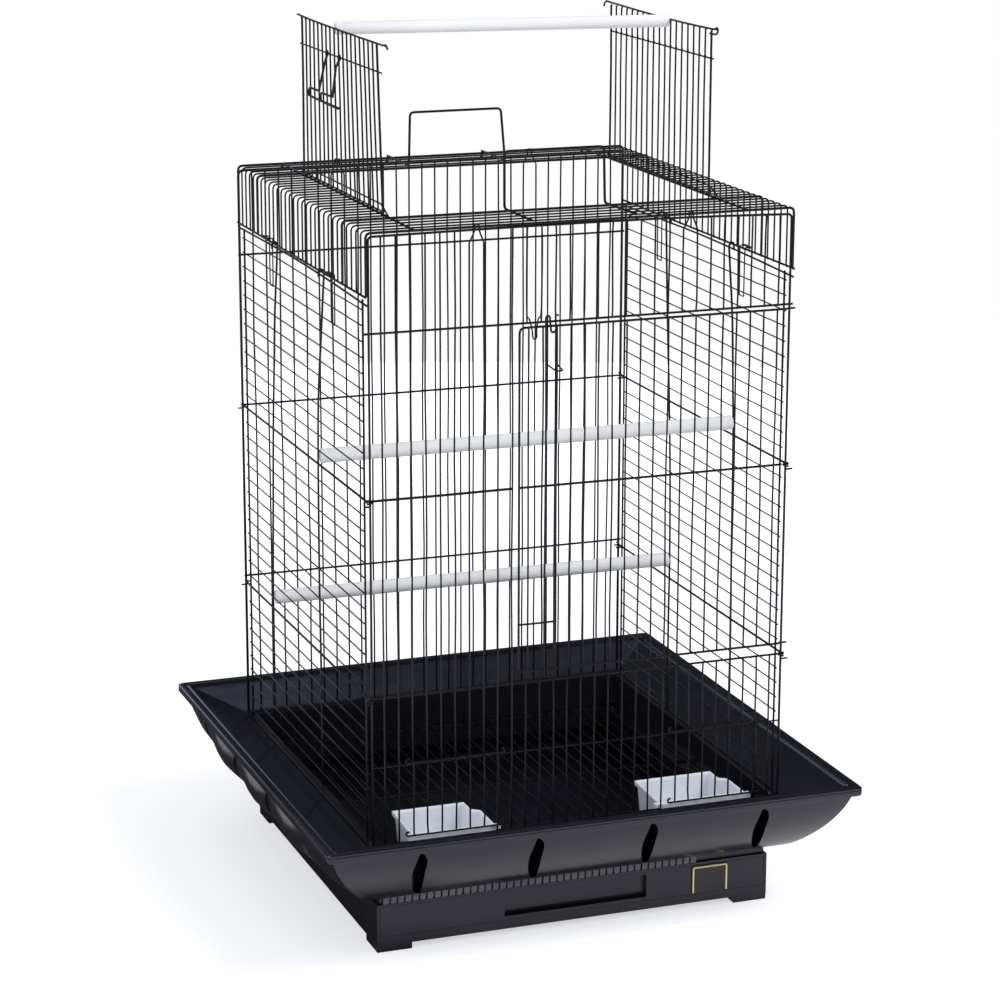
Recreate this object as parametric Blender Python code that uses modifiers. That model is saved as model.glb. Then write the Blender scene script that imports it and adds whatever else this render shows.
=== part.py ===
"""Play top bird cage: a wire cage with an opening play roof on a drawer base.

Run with: blender --background --python part.py
Units are metres, +Z is up, the front faces -Y and the feet stand on z = 0.
"""
import math

import bmesh
import bpy
from mathutils import Matrix, Vector

# Driving dimensions
CAGE_HALF = 0.2286
RIM_OVERHANG = 0.0664
BASE_INSET = 0.0086
FOOT_HEIGHT = 0.007
BASE_SHOULDER_Z = 0.052
BASE_TOP_Z = 0.066
LEDGE_Z = 0.120
RIM_TOP_Z = 0.1435
FEEDER_RAIL_Z = 0.204
LOWER_RAIL_Z = 0.278
BACK_LOWER_RAIL_Z = 0.285
MIDDLE_RAIL_Z = 0.484
DOOR_RAIL_Z = 0.653
SHOULDER_Z = 0.689
ROOF_Z = 0.753

# Clearances between pieces that touch or slide
GAP = 0.0003
RUN_GAP = 0.0004
DOOR_EDGE_GAP = 0.0040

# How far a cutter runs past the face or into the space that it opens
CUT_MARGIN = 0.01
CUT_OVERLAP = 0.001

# Wires
WIRE = 0.0022
HEAVY_WIRE = 0.003
FRONT_SPACES = 30
SIDE_ROWS = 35
FRONT_SIDE_GAP = 0.0006

# Seed skirt
SKIRT_WALL = 0.003
RIM_LIP_DEPTH = 0.010
RIM_LIP_WIDTH = 0.0065
RIM_LIP_TOP = 0.006
RIM_CHAMFER = 0.001
FLARE_TOP_Z = 0.130
FLARE_FOOT_OVERHANG = 0.0215
FLARE_FOOT_Z = 0.0685
FLARE_BULGE = 0.0055
FLARE_STEPS = 5
APRON_FOOT_OVERHANG = 0.009
LEDGE_WIDTH = 0.014
PIT_INSET = 0.0066
GRILLE_SEAT_Z = 0.083
GRILLE_SEAT_WIDTH = 0.016
SKIRT_FOOT_WIDTH = 0.010
SLOT_COUNT = 4
SLOT_PITCH = 0.126
SLOT_WIDTH = 0.013
SLOT_LENGTH = 0.054
SLOT_LEAN = math.radians(-9)
SLOT_Z = 0.097
SLOT_DEPTH = 0.08
SLOT_SIDES = 8

# Base and drawer
BASE_WALL = 0.003
RIB_STEP = 0.0035
SHOULDER_SHEET = 0.0025
FLANGE_OVERLAP = 0.001
FOOT_INSET = 0.0002
TRAY_SIDE_GAP = 0.0005
TRAY_BODY_INSET = 0.0045
BASE_FLOOR_Z = 0.0165
BASE_FLOOR = 0.003
FOOT_SIDE = 0.038
TRAY_TOP_Z = 0.0492
TRAY_WALL = 0.002
TRAY_HEIGHT = 0.028
DRAWER_FRONT = 0.010
GRIP_HALF = 0.080
GRIP_DEPTH = 0.006
GRIP_BOTTOM_Z = 0.0245
GRIP_TOP_MARGIN = 0.003
FINGER_SLOT_HEIGHT = 0.0035
FINGER_SLOT_DEPTH = 0.0085
LABEL_WIDTH = 0.042
LABEL_HEIGHT = 0.031
LABEL_THICKNESS = 0.0008
LABEL_X = 0.1533

# Roof and play top
ROOF_SPACES = 30
ROOF_STRIP_SPACES = 5
ROOF_BEND = 0.006
ROOF_BEND_STEPS = 2
OPENING_HALF_X = 0.178
STRIP_WIRE_X = 0.056
HOOP_HEIGHT = 0.059
HOOP_CORNER = 0.010
PLAY_DOOR_SPACES = 18
PLAY_DOOR_HALF_Y = 0.1365
PLAY_DOOR_MIDDLE_Y = 0.008
PLAY_DOOR_HEIGHT = 0.1665
PLAY_DOOR_RAIL_DROP = 0.0275
PLAY_PERCH_RADIUS = 0.0077
PLAY_PERCH_PEG_RADIUS = 0.0058
PLAY_PERCH_PEG_REACH = 0.009
PLAY_PERCH_PLAY = 0.00035
PLAY_PERCH_STEP = 0.0019
PLAY_PERCH_LEAN_SPACES = 1.5
NOTCH_HALF_WIDTH = 0.012
NOTCH_EXTRA_DROP = 0.003
PLAY_LATCH_SPACES = 4
PLAY_LATCH_MIDDLE_SPACE = 3.5
PLAY_LATCH_LENGTH = 0.066
PLAY_LATCH_FOOT = 0.016
WIRE_BEND = 0.004

# Doors and cups
FRONT_DOOR_EDGE_BAR = 10
FRONT_DOOR_FIRST_BAR_X = -0.059
FRONT_DOOR_PITCH = 0.0151
FRONT_DOOR_SPACES = 18
FRONT_DOOR_TOP_DROP = 0.0045
FRONT_DOOR_LIFT = 0.012
LATCH_X = -0.0358
LATCH_HALF = 0.0052
LATCH_HOOK = 0.012
LATCH_RETURN = 0.05
LATCH_THUMB = 0.016
FEEDER_FIRST_SPACE = 2
FEEDER_SPACES = 7
FEEDER_RAIL_RISE = 0.007
FEEDER_TOP_RISE = 0.003
CUP_WIDTH = 0.088
CUP_DEPTH = 0.072
CUP_HEIGHT = 0.036
CUP_WALL = 0.002
CUP_FLANGE_WIDTH = 0.102
CUP_FLANGE = 0.006

# Perches, and the bowed side wires at their ends as (y, height) points; entry
# PERCH_POINT_INDEX of each wire is where the perch end sits
PERCH_RADIUS = 0.0077
PERCH_POINT_INDEX = {"upper": 2, "lower": 3}
PERCH_WIRES = {
    ("upper", -1): ((-0.0798, 0.684), (-0.066, 0.612), (-0.0515, 0.4895), (-0.050, 0.355), (-0.0535, 0.126)),
    ("upper", 1): ((-0.0776, 0.684), (-0.090, 0.600), (-0.098, 0.5003), (-0.100, 0.360), (-0.103, 0.126)),
    ("lower", -1): ((0.0893, 0.684), (0.1045, 0.590), (0.120, 0.434), (0.1268, 0.288), (0.1275, 0.126)),
    ("lower", 1): ((0.0924, 0.684), (0.083, 0.560), (0.0735, 0.440), (0.068, 0.3035), (0.068, 0.126)),
}
PERCH_WIRE_STEPS = 3

# Positions that follow from the sizes above
RIM_HALF = CAGE_HALF + RIM_OVERHANG
BASE_HALF = CAGE_HALF - BASE_INSET
PIT_HALF = CAGE_HALF - PIT_INSET
LEDGE_OUTER_HALF = PIT_HALF + LEDGE_WIDTH
GRILLE_SEAT_HALF = PIT_HALF - GRILLE_SEAT_WIDTH
APRON_FOOT_HALF = BASE_HALF + APRON_FOOT_OVERHANG
FLARE_FOOT_HALF = BASE_HALF + FLARE_FOOT_OVERHANG
PANEL_BOTTOM_Z = LEDGE_Z + GAP + WIRE / 2
SIDE_TOP_Z = SHOULDER_Z - WIRE / 2 - GAP
FRONT_TOP_Z = ROOF_Z - WIRE - GAP
FRONT_HALF = CAGE_HALF - WIRE - FRONT_SIDE_GAP
FRONT_PITCH = 2 * FRONT_HALF / FRONT_SPACES
FRONT_DOOR_EDGE_X = -FRONT_HALF + FRONT_DOOR_EDGE_BAR * FRONT_PITCH
ROOF_PITCH = 2 * CAGE_HALF / ROOF_SPACES
SIDE_POST_Y = CAGE_HALF - ROOF_PITCH
OPENING_HALF_Y = CAGE_HALF - ROOF_STRIP_SPACES * ROOF_PITCH
FRONT_LAYER_Y = -CAGE_HALF - WIRE - RUN_GAP
PLAY_HINGE_Z = ROOF_Z + WIRE + GAP
PLAY_TOP_Z = PLAY_HINGE_Z + PLAY_DOOR_HEIGHT
PLAY_RAIL_Z = PLAY_TOP_Z - PLAY_DOOR_RAIL_DROP
PLAY_PITCH = 2 * PLAY_DOOR_HALF_Y / PLAY_DOOR_SPACES
FRONT_DOOR_BOTTOM_Z = LOWER_RAIL_Z + FRONT_DOOR_LIFT
FRONT_DOOR_TOP_Z = DOOR_RAIL_Z - FRONT_DOOR_TOP_DROP
FRONT_HINGE_X = FRONT_HALF - WIRE - RUN_GAP
SKIRT_FOOT_Z = BASE_TOP_Z + GAP
BASE_INNER_HALF = BASE_HALF - BASE_WALL

for leftover in list(bpy.data.objects):
    bpy.data.objects.remove(leftover, do_unlink=True)


def make_collection(name):
    """A collection linked to the scene."""
    group = bpy.data.collections.new(name)
    bpy.context.scene.collection.children.link(group)
    return group


PARTS = make_collection("play_top_bird_cage")
CUTTERS = make_collection("cutters")


def make_material(name, colour, roughness, metallic=0.0):
    """A plain finish for one group of parts."""
    finish = bpy.data.materials.new(name)
    finish.use_nodes = True
    shader = finish.node_tree.nodes["Principled BSDF"]
    shader.inputs["Base Color"].default_value = (*colour, 1.0)
    shader.inputs["Roughness"].default_value = roughness
    shader.inputs["Metallic"].default_value = metallic
    return finish


BLACK_PLASTIC = make_material("black_plastic", (0.012, 0.012, 0.016), 0.25)
BLACK_WIRE = make_material("black_wire", (0.010, 0.010, 0.012), 0.35)
PERCH_GREY = make_material("perch_grey", (0.62, 0.64, 0.65), 0.45)
CUP_WHITE = make_material("cup_white", (0.80, 0.82, 0.86), 0.30)
LABEL_DARK = make_material("label_dark", (0.05, 0.045, 0.03), 0.35)


def add_object(name, mesh, finish, group=PARTS):
    """Link a mesh into a collection under its node name."""
    piece = bpy.data.objects.new(name, mesh)
    group.objects.link(piece)
    if finish is not None:
        mesh.materials.append(finish)
    return piece


def mesh_from(name, shape):
    """Turn a finished bmesh into mesh data."""
    mesh = bpy.data.meshes.new(name)
    shape.normal_update()
    shape.to_mesh(mesh)
    shape.free()
    return mesh


def add_cutter(name, mesh):
    """A hidden tool for a Boolean."""
    cutter = add_object(name, mesh, None, CUTTERS)
    cutter.hide_render = True
    cutter.display_type = "WIRE"
    return cutter


def boolean(piece, cutter, operation="DIFFERENCE"):
    """Cut or join with the exact solver."""
    step = piece.modifiers.new(cutter.name, "BOOLEAN")
    step.operation = operation
    step.object = cutter
    step.solver = "EXACT"


def boxes(name, spans):
    """One mesh of separate boxes, each given by its low and high corner."""
    shape = bmesh.new()
    for low, high in spans:
        low, high = Vector(low), Vector(high)
        made = bmesh.ops.create_cube(shape, size=1.0)
        size = high - low
        place = Matrix.Translation((low + high) / 2) @ Matrix.Diagonal((*size, 1.0))
        bmesh.ops.transform(shape, matrix=place, verts=made["verts"])
    return mesh_from(name, shape)


def square_ring(name, profile, finish):
    """Sweep a closed (half side, height) profile round a square."""
    shape = bmesh.new()
    corner = math.sqrt(2.0)
    loop = [shape.verts.new((half * corner, 0.0, z)) for half, z in profile]
    for first, second in zip(loop, loop[1:] + loop[:1]):
        if first.co.x > 0.0 or second.co.x > 0.0:
            shape.edges.new((first, second))
    piece = add_object(name, mesh_from(name, shape), finish)
    sweep = piece.modifiers.new("sweep", "SCREW")
    sweep.steps = 4
    sweep.render_steps = 4
    sweep.use_merge_vertices = True
    sweep.merge_threshold = 0.0001
    sweep.use_normal_calculate = True
    sweep.use_smooth_shade = False
    piece.rotation_euler.z = math.radians(45)
    return piece


def lattice(name, across, up, holes=(), corner_drop=0.0):
    """A welded wire panel in its own XZ plane; holes are (x0, x1, z0, z1).

    corner_drop lowers the two top corners, to pass under the roof's bend.
    """
    shape = bmesh.new()
    columns = len(across) - 1
    rows = len(up) - 1
    bmesh.ops.create_grid(shape, x_segments=columns, y_segments=rows, size=1.0)
    for vert in shape.verts:
        column = round((vert.co.x + 1.0) / 2.0 * columns)
        row = round((vert.co.y + 1.0) / 2.0 * rows)
        at_corner = row == rows and column in (0, columns)
        drop = corner_drop if at_corner else 0.0
        vert.co = Vector((across[column], 0.0, up[row] - drop))
    inside = []
    for face in shape.faces:
        middle = face.calc_center_median()
        for x0, x1, z0, z1 in holes:
            if x0 < middle.x < x1 and z0 < middle.z < z1:
                inside.append(face)
                break
    bmesh.ops.delete(shape, geom=inside, context="FACES")
    piece = add_object(name, mesh_from(name, shape), BLACK_WIRE)
    wires = piece.modifiers.new("wires", "WIREFRAME")
    wires.thickness = WIRE
    wires.use_even_offset = True
    wires.use_boundary = True
    wires.use_replace = True
    return piece


def even(start, end, spaces):
    """Evenly spaced values from start to end."""
    return [start + (end - start) * step / spaces for step in range(spaces + 1)]


def bend_route(points, radius, steps=3):
    """Round the inner corners of a wire's route."""
    route = [Vector(points[0])]
    for before, corner, after in zip(points, points[1:], points[2:]):
        corner = Vector(corner)
        to_before = (Vector(before) - corner).normalized()
        to_after = (Vector(after) - corner).normalized()
        start = corner + to_before * radius
        end = corner + to_after * radius
        for step in range(steps + 1):
            share = step / steps
            first = start.lerp(corner, share)
            second = corner.lerp(end, share)
            route.append(first.lerp(second, share))
    route.append(Vector(points[-1]))
    return route


def wire(name, route, radius):
    """A bent round wire as a poly curve with closed ends."""
    curve = bpy.data.curves.new(name, "CURVE")
    curve.dimensions = "3D"
    curve.bevel_depth = radius
    curve.bevel_resolution = 1
    curve.use_fill_caps = True
    spline = curve.splines.new("POLY")
    spline.points.add(len(route) - 1)
    for point, place in zip(spline.points, route):
        point.co = (*place, 1.0)
    curve.materials.append(BLACK_WIRE)
    piece = bpy.data.objects.new(name, curve)
    PARTS.objects.link(piece)
    return piece


def rod(name, start, end, radius, finish, sides=16):
    """A straight round rod between two points."""
    start, end = Vector(start), Vector(end)
    shape = bmesh.new()
    length = (end - start).length
    bmesh.ops.create_cone(shape, cap_ends=True, segments=sides, radius1=radius,
                          radius2=radius, depth=length)
    piece = add_object(name, mesh_from(name, shape), finish)
    for face in piece.data.polygons:
        face.use_smooth = True
    piece.data.set_sharp_from_angle(angle=math.radians(40))
    piece.location = (start + end) / 2
    piece.rotation_euler = (end - start).to_track_quat("Z", "Y").to_euler()
    return piece


def hinge_empty(name, place):
    """An empty on a joint's axis for the pieces that turn about it."""
    empty = bpy.data.objects.new(name, None)
    empty.location = place
    PARTS.objects.link(empty)
    return empty


def flare_points(start, end, bulge, steps):
    """An arc through two profile points that bulges outward and down."""
    start, end = Vector(start), Vector(end)
    chord = (end - start).length
    radius = (chord * chord / 4 + bulge * bulge) / (2 * bulge)
    half_angle = math.asin(chord / (2 * radius))
    outward = Vector((-(end - start).y, (end - start).x)).normalized()
    centre = (start + end) / 2 + outward * (bulge - radius)
    along = (end - start).normalized()
    points = []
    for step in range(steps + 1):
        angle = -half_angle + 2 * half_angle * step / steps
        offset = along * (radius * math.sin(angle)) + outward * (radius * math.cos(angle))
        points.append(tuple(centre + offset))
    return points


# Seed skirt: rim, sloping catch surface, ledge, pit wall and flared apron
def build_skirt():
    lip_inner = RIM_HALF - RIM_LIP_WIDTH
    lip_z = RIM_TOP_Z - RIM_LIP_DEPTH
    outside = flare_points((lip_inner, FLARE_TOP_Z), (FLARE_FOOT_HALF, FLARE_FOOT_Z),
                           FLARE_BULGE, FLARE_STEPS)
    inside = flare_points((lip_inner - SKIRT_WALL, FLARE_TOP_Z),
                          (FLARE_FOOT_HALF - SKIRT_WALL / 2, FLARE_FOOT_Z + SKIRT_WALL),
                          FLARE_BULGE, FLARE_STEPS)
    profile = [
        (RIM_HALF - RIM_LIP_TOP, RIM_TOP_Z),
        (RIM_HALF - RIM_CHAMFER, RIM_TOP_Z),
        (RIM_HALF, RIM_TOP_Z - RIM_CHAMFER),
        (RIM_HALF, lip_z),
        (lip_inner, lip_z),
    ]
    profile += outside
    profile += [(APRON_FOOT_HALF, SKIRT_FOOT_Z), (APRON_FOOT_HALF, SKIRT_FOOT_Z + SKIRT_WALL)]
    profile += reversed(inside)
    foot_outer = GRILLE_SEAT_HALF + SKIRT_FOOT_WIDTH
    pit_outer = PIT_HALF + SKIRT_WALL
    seat_under = GRILLE_SEAT_Z - SKIRT_WALL
    leg_outer = GRILLE_SEAT_HALF + SKIRT_WALL
    ledge_under = LEDGE_Z - SKIRT_WALL
    profile += [
        (LEDGE_OUTER_HALF, ledge_under),
        (pit_outer, ledge_under),
        (pit_outer, seat_under),
        (leg_outer, seat_under),
        (leg_outer, SKIRT_FOOT_Z + SKIRT_WALL),
        (foot_outer, SKIRT_FOOT_Z + SKIRT_WALL),
        (foot_outer, SKIRT_FOOT_Z),
        (GRILLE_SEAT_HALF, SKIRT_FOOT_Z),
        (GRILLE_SEAT_HALF, GRILLE_SEAT_Z),
        (PIT_HALF, GRILLE_SEAT_Z),
        (PIT_HALF, LEDGE_Z),
        (LEDGE_OUTER_HALF, LEDGE_Z),
    ]
    skirt = square_ring("seed_skirt", profile, BLACK_PLASTIC)

    slots = bmesh.new()
    middle = (SLOT_COUNT - 1) / 2
    for side in range(4):
        for index in range(SLOT_COUNT):
            made = bmesh.ops.create_cone(slots, cap_ends=True, segments=SLOT_SIDES,
                                         radius1=0.5, radius2=0.5, depth=1.0)
            scale = Matrix.Diagonal((SLOT_WIDTH, SLOT_LENGTH, SLOT_DEPTH, 1.0))
            lean = Matrix.Rotation(SLOT_LEAN, 4, "Y")
            upright = Matrix.Rotation(math.radians(90), 4, "X")
            out = APRON_FOOT_HALF + SLOT_DEPTH / 2
            move = Matrix.Translation(((index - middle) * SLOT_PITCH, -out, SLOT_Z))
            turn = Matrix.Rotation(math.radians(90) * side, 4, "Z")
            bmesh.ops.transform(slots, matrix=turn @ move @ lean @ upright @ scale,
                                verts=made["verts"])
    boolean(skirt, add_cutter("skirt_slots", mesh_from("skirt_slots", slots)))


# Base stand: floor, walls, drawer mouth and four corner feet
def build_base():
    rib_half = BASE_HALF - RIB_STEP
    rib_inner = rib_half - BASE_WALL
    flange_inner = GRILLE_SEAT_HALF - FLANGE_OVERLAP
    shoulder_under = BASE_SHOULDER_Z - SHOULDER_SHEET
    profile = [
        (0.0, BASE_FLOOR_Z),
        (BASE_INNER_HALF, BASE_FLOOR_Z),
        (BASE_INNER_HALF, shoulder_under),
        (rib_inner, shoulder_under),
        (rib_inner, BASE_TOP_Z - BASE_WALL),
        (flange_inner, BASE_TOP_Z - BASE_WALL),
        (flange_inner, BASE_TOP_Z),
        (rib_half, BASE_TOP_Z),
        (rib_half, BASE_SHOULDER_Z),
        (BASE_HALF, BASE_SHOULDER_Z),
        (BASE_HALF, FOOT_HEIGHT),
        (BASE_INNER_HALF, FOOT_HEIGHT),
        (BASE_INNER_HALF, BASE_FLOOR_Z - BASE_FLOOR),
        (0.0, BASE_FLOOR_Z - BASE_FLOOR),
    ]
    base = square_ring("base_stand", profile, BLACK_PLASTIC)
    inner = BASE_HALF - FOOT_SIDE
    edge = BASE_HALF - FOOT_INSET
    foot_top = BASE_FLOOR_Z - BASE_FLOOR / 2
    feet = []
    for side_x in (-1, 1):
        for side_y in (-1, 1):
            xs = sorted((side_x * inner, side_x * edge))
            ys = sorted((side_y * inner, side_y * edge))
            feet.append(((xs[0], ys[0], 0.0), (xs[1], ys[1], foot_top)))
    boolean(base, add_cutter("base_feet", boxes("base_feet", feet)), "UNION")
    mouth = [((-BASE_INNER_HALF, -BASE_HALF - CUT_MARGIN, BASE_FLOOR_Z),
              (BASE_INNER_HALF, -BASE_INNER_HALF + CUT_OVERLAP, shoulder_under))]
    boolean(base, add_cutter("drawer_mouth", boxes("drawer_mouth", mouth)))


# Pull-out tray with its drawer front, grip recess and finger slot
def build_tray():
    bottom = BASE_FLOOR_Z + GAP
    half = BASE_INNER_HALF - TRAY_SIDE_GAP
    tray_half = BASE_INNER_HALF - TRAY_BODY_INSET
    front = -BASE_HALF
    back = tray_half
    body = [((-half, front, bottom), (half, front + DRAWER_FRONT, TRAY_TOP_Z))]
    tray = add_object("pull_out_tray", boxes("pull_out_tray", body), BLACK_PLASTIC)
    shell = [((-tray_half, front + DRAWER_FRONT / 2, bottom), (tray_half, back, bottom + TRAY_HEIGHT))]
    boolean(tray, add_cutter("tray_body", boxes("tray_body", shell)), "UNION")
    hollow = [((-tray_half + TRAY_WALL, front + DRAWER_FRONT, bottom + TRAY_WALL),
               (tray_half - TRAY_WALL, back - TRAY_WALL, TRAY_TOP_Z + CUT_MARGIN))]
    boolean(tray, add_cutter("tray_hollow", boxes("tray_hollow", hollow)))
    grip = [((-GRIP_HALF, front - CUT_MARGIN, GRIP_BOTTOM_Z),
             (GRIP_HALF, front + GRIP_DEPTH, TRAY_TOP_Z - GRIP_TOP_MARGIN))]
    boolean(tray, add_cutter("tray_grip", boxes("tray_grip", grip)))
    slot = [((-GRIP_HALF, front - CUT_MARGIN, GRIP_BOTTOM_Z - FINGER_SLOT_HEIGHT),
             (GRIP_HALF, front + FINGER_SLOT_DEPTH, GRIP_BOTTOM_Z + CUT_OVERLAP))]
    boolean(tray, add_cutter("finger_slot", boxes("finger_slot", slot)))
    label_back = front - GAP
    label_z = (BASE_FLOOR_Z + TRAY_TOP_Z) / 2
    label = [((LABEL_X - LABEL_WIDTH / 2, label_back - LABEL_THICKNESS, label_z - LABEL_HEIGHT / 2),
              (LABEL_X + LABEL_WIDTH / 2, label_back, label_z + LABEL_HEIGHT / 2))]
    add_object("label_plate", boxes("label_plate", label), LABEL_DARK)


# Bottom grille on its seat in the skirt
def build_grille():
    half = PIT_HALF - WIRE
    grille = lattice("bottom_grille", even(-half, half, FRONT_SPACES), even(-half, half, 2))
    grille.rotation_euler.x = math.radians(-90)
    grille.location.z = GRILLE_SEAT_Z + GAP + WIRE / 2


# Front, back and side panels
def front_bars():
    return even(-FRONT_HALF, FRONT_HALF, FRONT_SPACES)


def feeder_span(side):
    """Left and right edge of a feeder opening; side is -1 or 1."""
    inner = FRONT_HALF - (FEEDER_FIRST_SPACE + FEEDER_SPACES) * FRONT_PITCH
    outer = FRONT_HALF - FEEDER_FIRST_SPACE * FRONT_PITCH
    return sorted((side * inner, side * outer))


def build_panels():
    holes = [(FRONT_DOOR_EDGE_X, FRONT_HALF, LOWER_RAIL_Z, DOOR_RAIL_Z)]
    for side in (-1, 1):
        left, right = feeder_span(side)
        holes.append((left, right, 0.0, FEEDER_RAIL_Z))
    up = [PANEL_BOTTOM_Z, FEEDER_RAIL_Z, LOWER_RAIL_Z, MIDDLE_RAIL_Z, DOOR_RAIL_Z, FRONT_TOP_Z]
    corner_drop = ROOF_BEND + WIRE
    front = lattice("front_panel", front_bars(), up, holes, corner_drop)
    front.location.y = -CAGE_HALF

    up = [PANEL_BOTTOM_Z, BACK_LOWER_RAIL_Z, MIDDLE_RAIL_Z, DOOR_RAIL_Z, FRONT_TOP_Z]
    back = lattice("back_panel", front_bars(), up, corner_drop=corner_drop)
    back.location.y = CAGE_HALF

    rows = even(PANEL_BOTTOM_Z, SIDE_TOP_Z, SIDE_ROWS)
    for name, side in (("left_panel", -1), ("right_panel", 1)):
        panel = lattice(name, [-SIDE_POST_Y, SIDE_POST_Y], rows)
        panel.rotation_euler.z = math.radians(90)
        panel.location.x = side * CAGE_HALF


# Roof: bent hoops, shoulder rails and the play opening, cut from one bent sheet
def build_roof():
    bend = []
    for step in range(ROOF_BEND_STEPS + 1):
        angle = math.radians(90) * step / ROOF_BEND_STEPS
        bend.append((CAGE_HALF - ROOF_BEND + ROOF_BEND * math.cos(angle),
                     ROOF_Z - ROOF_BEND + ROOF_BEND * math.sin(angle)))
    right = [(CAGE_HALF, SHOULDER_Z), *bend]
    section = right + [(-x, z) for x, z in reversed(right)]
    shape = bmesh.new()
    verts = [shape.verts.new((x, -CAGE_HALF - WIRE / 2, z)) for x, z in section]
    edges = [shape.edges.new(pair) for pair in zip(verts, verts[1:])]
    made = bmesh.ops.extrude_edge_only(shape, edges=edges)
    moved = [item for item in made["geom"] if isinstance(item, bmesh.types.BMVert)]
    bmesh.ops.translate(shape, vec=(0.0, 2 * CAGE_HALF + WIRE, 0.0), verts=moved)
    bmesh.ops.recalc_face_normals(shape, faces=shape.faces)
    roof = add_object("roof_panel", mesh_from("roof_panel", shape), BLACK_WIRE)
    skin = roof.modifiers.new("skin", "SOLIDIFY")
    skin.thickness = WIRE
    skin.offset = 0.0
    skin.use_even_offset = True

    half = WIRE / 2
    low = SHOULDER_Z + WIRE
    high = ROOF_Z + CUT_MARGIN
    under = ROOF_Z - CUT_MARGIN
    far = CAGE_HALF + CUT_MARGIN
    hoops = even(-CAGE_HALF, CAGE_HALF, ROOF_SPACES)
    strip_wires = [-OPENING_HALF_X, -STRIP_WIRE_X, STRIP_WIRE_X, OPENING_HALF_X]
    openings = []
    for index, (first, second) in enumerate(zip(hoops, hoops[1:])):
        y0, y1 = first + half, second - half
        on_strip = index < ROOF_STRIP_SPACES or index >= ROOF_SPACES - ROOF_STRIP_SPACES
        openings.append(((-far, y0, low), (-OPENING_HALF_X - half, y1, high)))
        openings.append(((OPENING_HALF_X + half, y0, low), (far, y1, high)))
        if on_strip:
            for left, right_x in zip(strip_wires, strip_wires[1:]):
                openings.append(((left + half, y0, under), (right_x - half, y1, high)))
    inner_y = OPENING_HALF_Y - half
    inner_x = OPENING_HALF_X - half
    openings.append(((-inner_x, -inner_y, under), (inner_x, inner_y, high)))
    boolean(roof, add_cutter("roof_openings", boxes("roof_openings", openings)))


# Carry hoops that stand on the front and back of the roof opening
def build_hoops():
    base_z = ROOF_Z + WIRE / 2 + GAP + HEAVY_WIRE / 2
    for name, side in (("front_carry_hoop", -1), ("back_carry_hoop", 1)):
        outer = side * CAGE_HALF
        inner = side * OPENING_HALF_Y
        route = bend_route([
            (-STRIP_WIRE_X, outer, base_z),
            (-STRIP_WIRE_X, inner, base_z),
            (-STRIP_WIRE_X, inner, base_z + HOOP_HEIGHT),
            (STRIP_WIRE_X, inner, base_z + HOOP_HEIGHT),
            (STRIP_WIRE_X, inner, base_z),
            (STRIP_WIRE_X, outer, base_z),
        ], HOOP_CORNER)
        wire(name, route, HEAVY_WIRE / 2)


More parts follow.
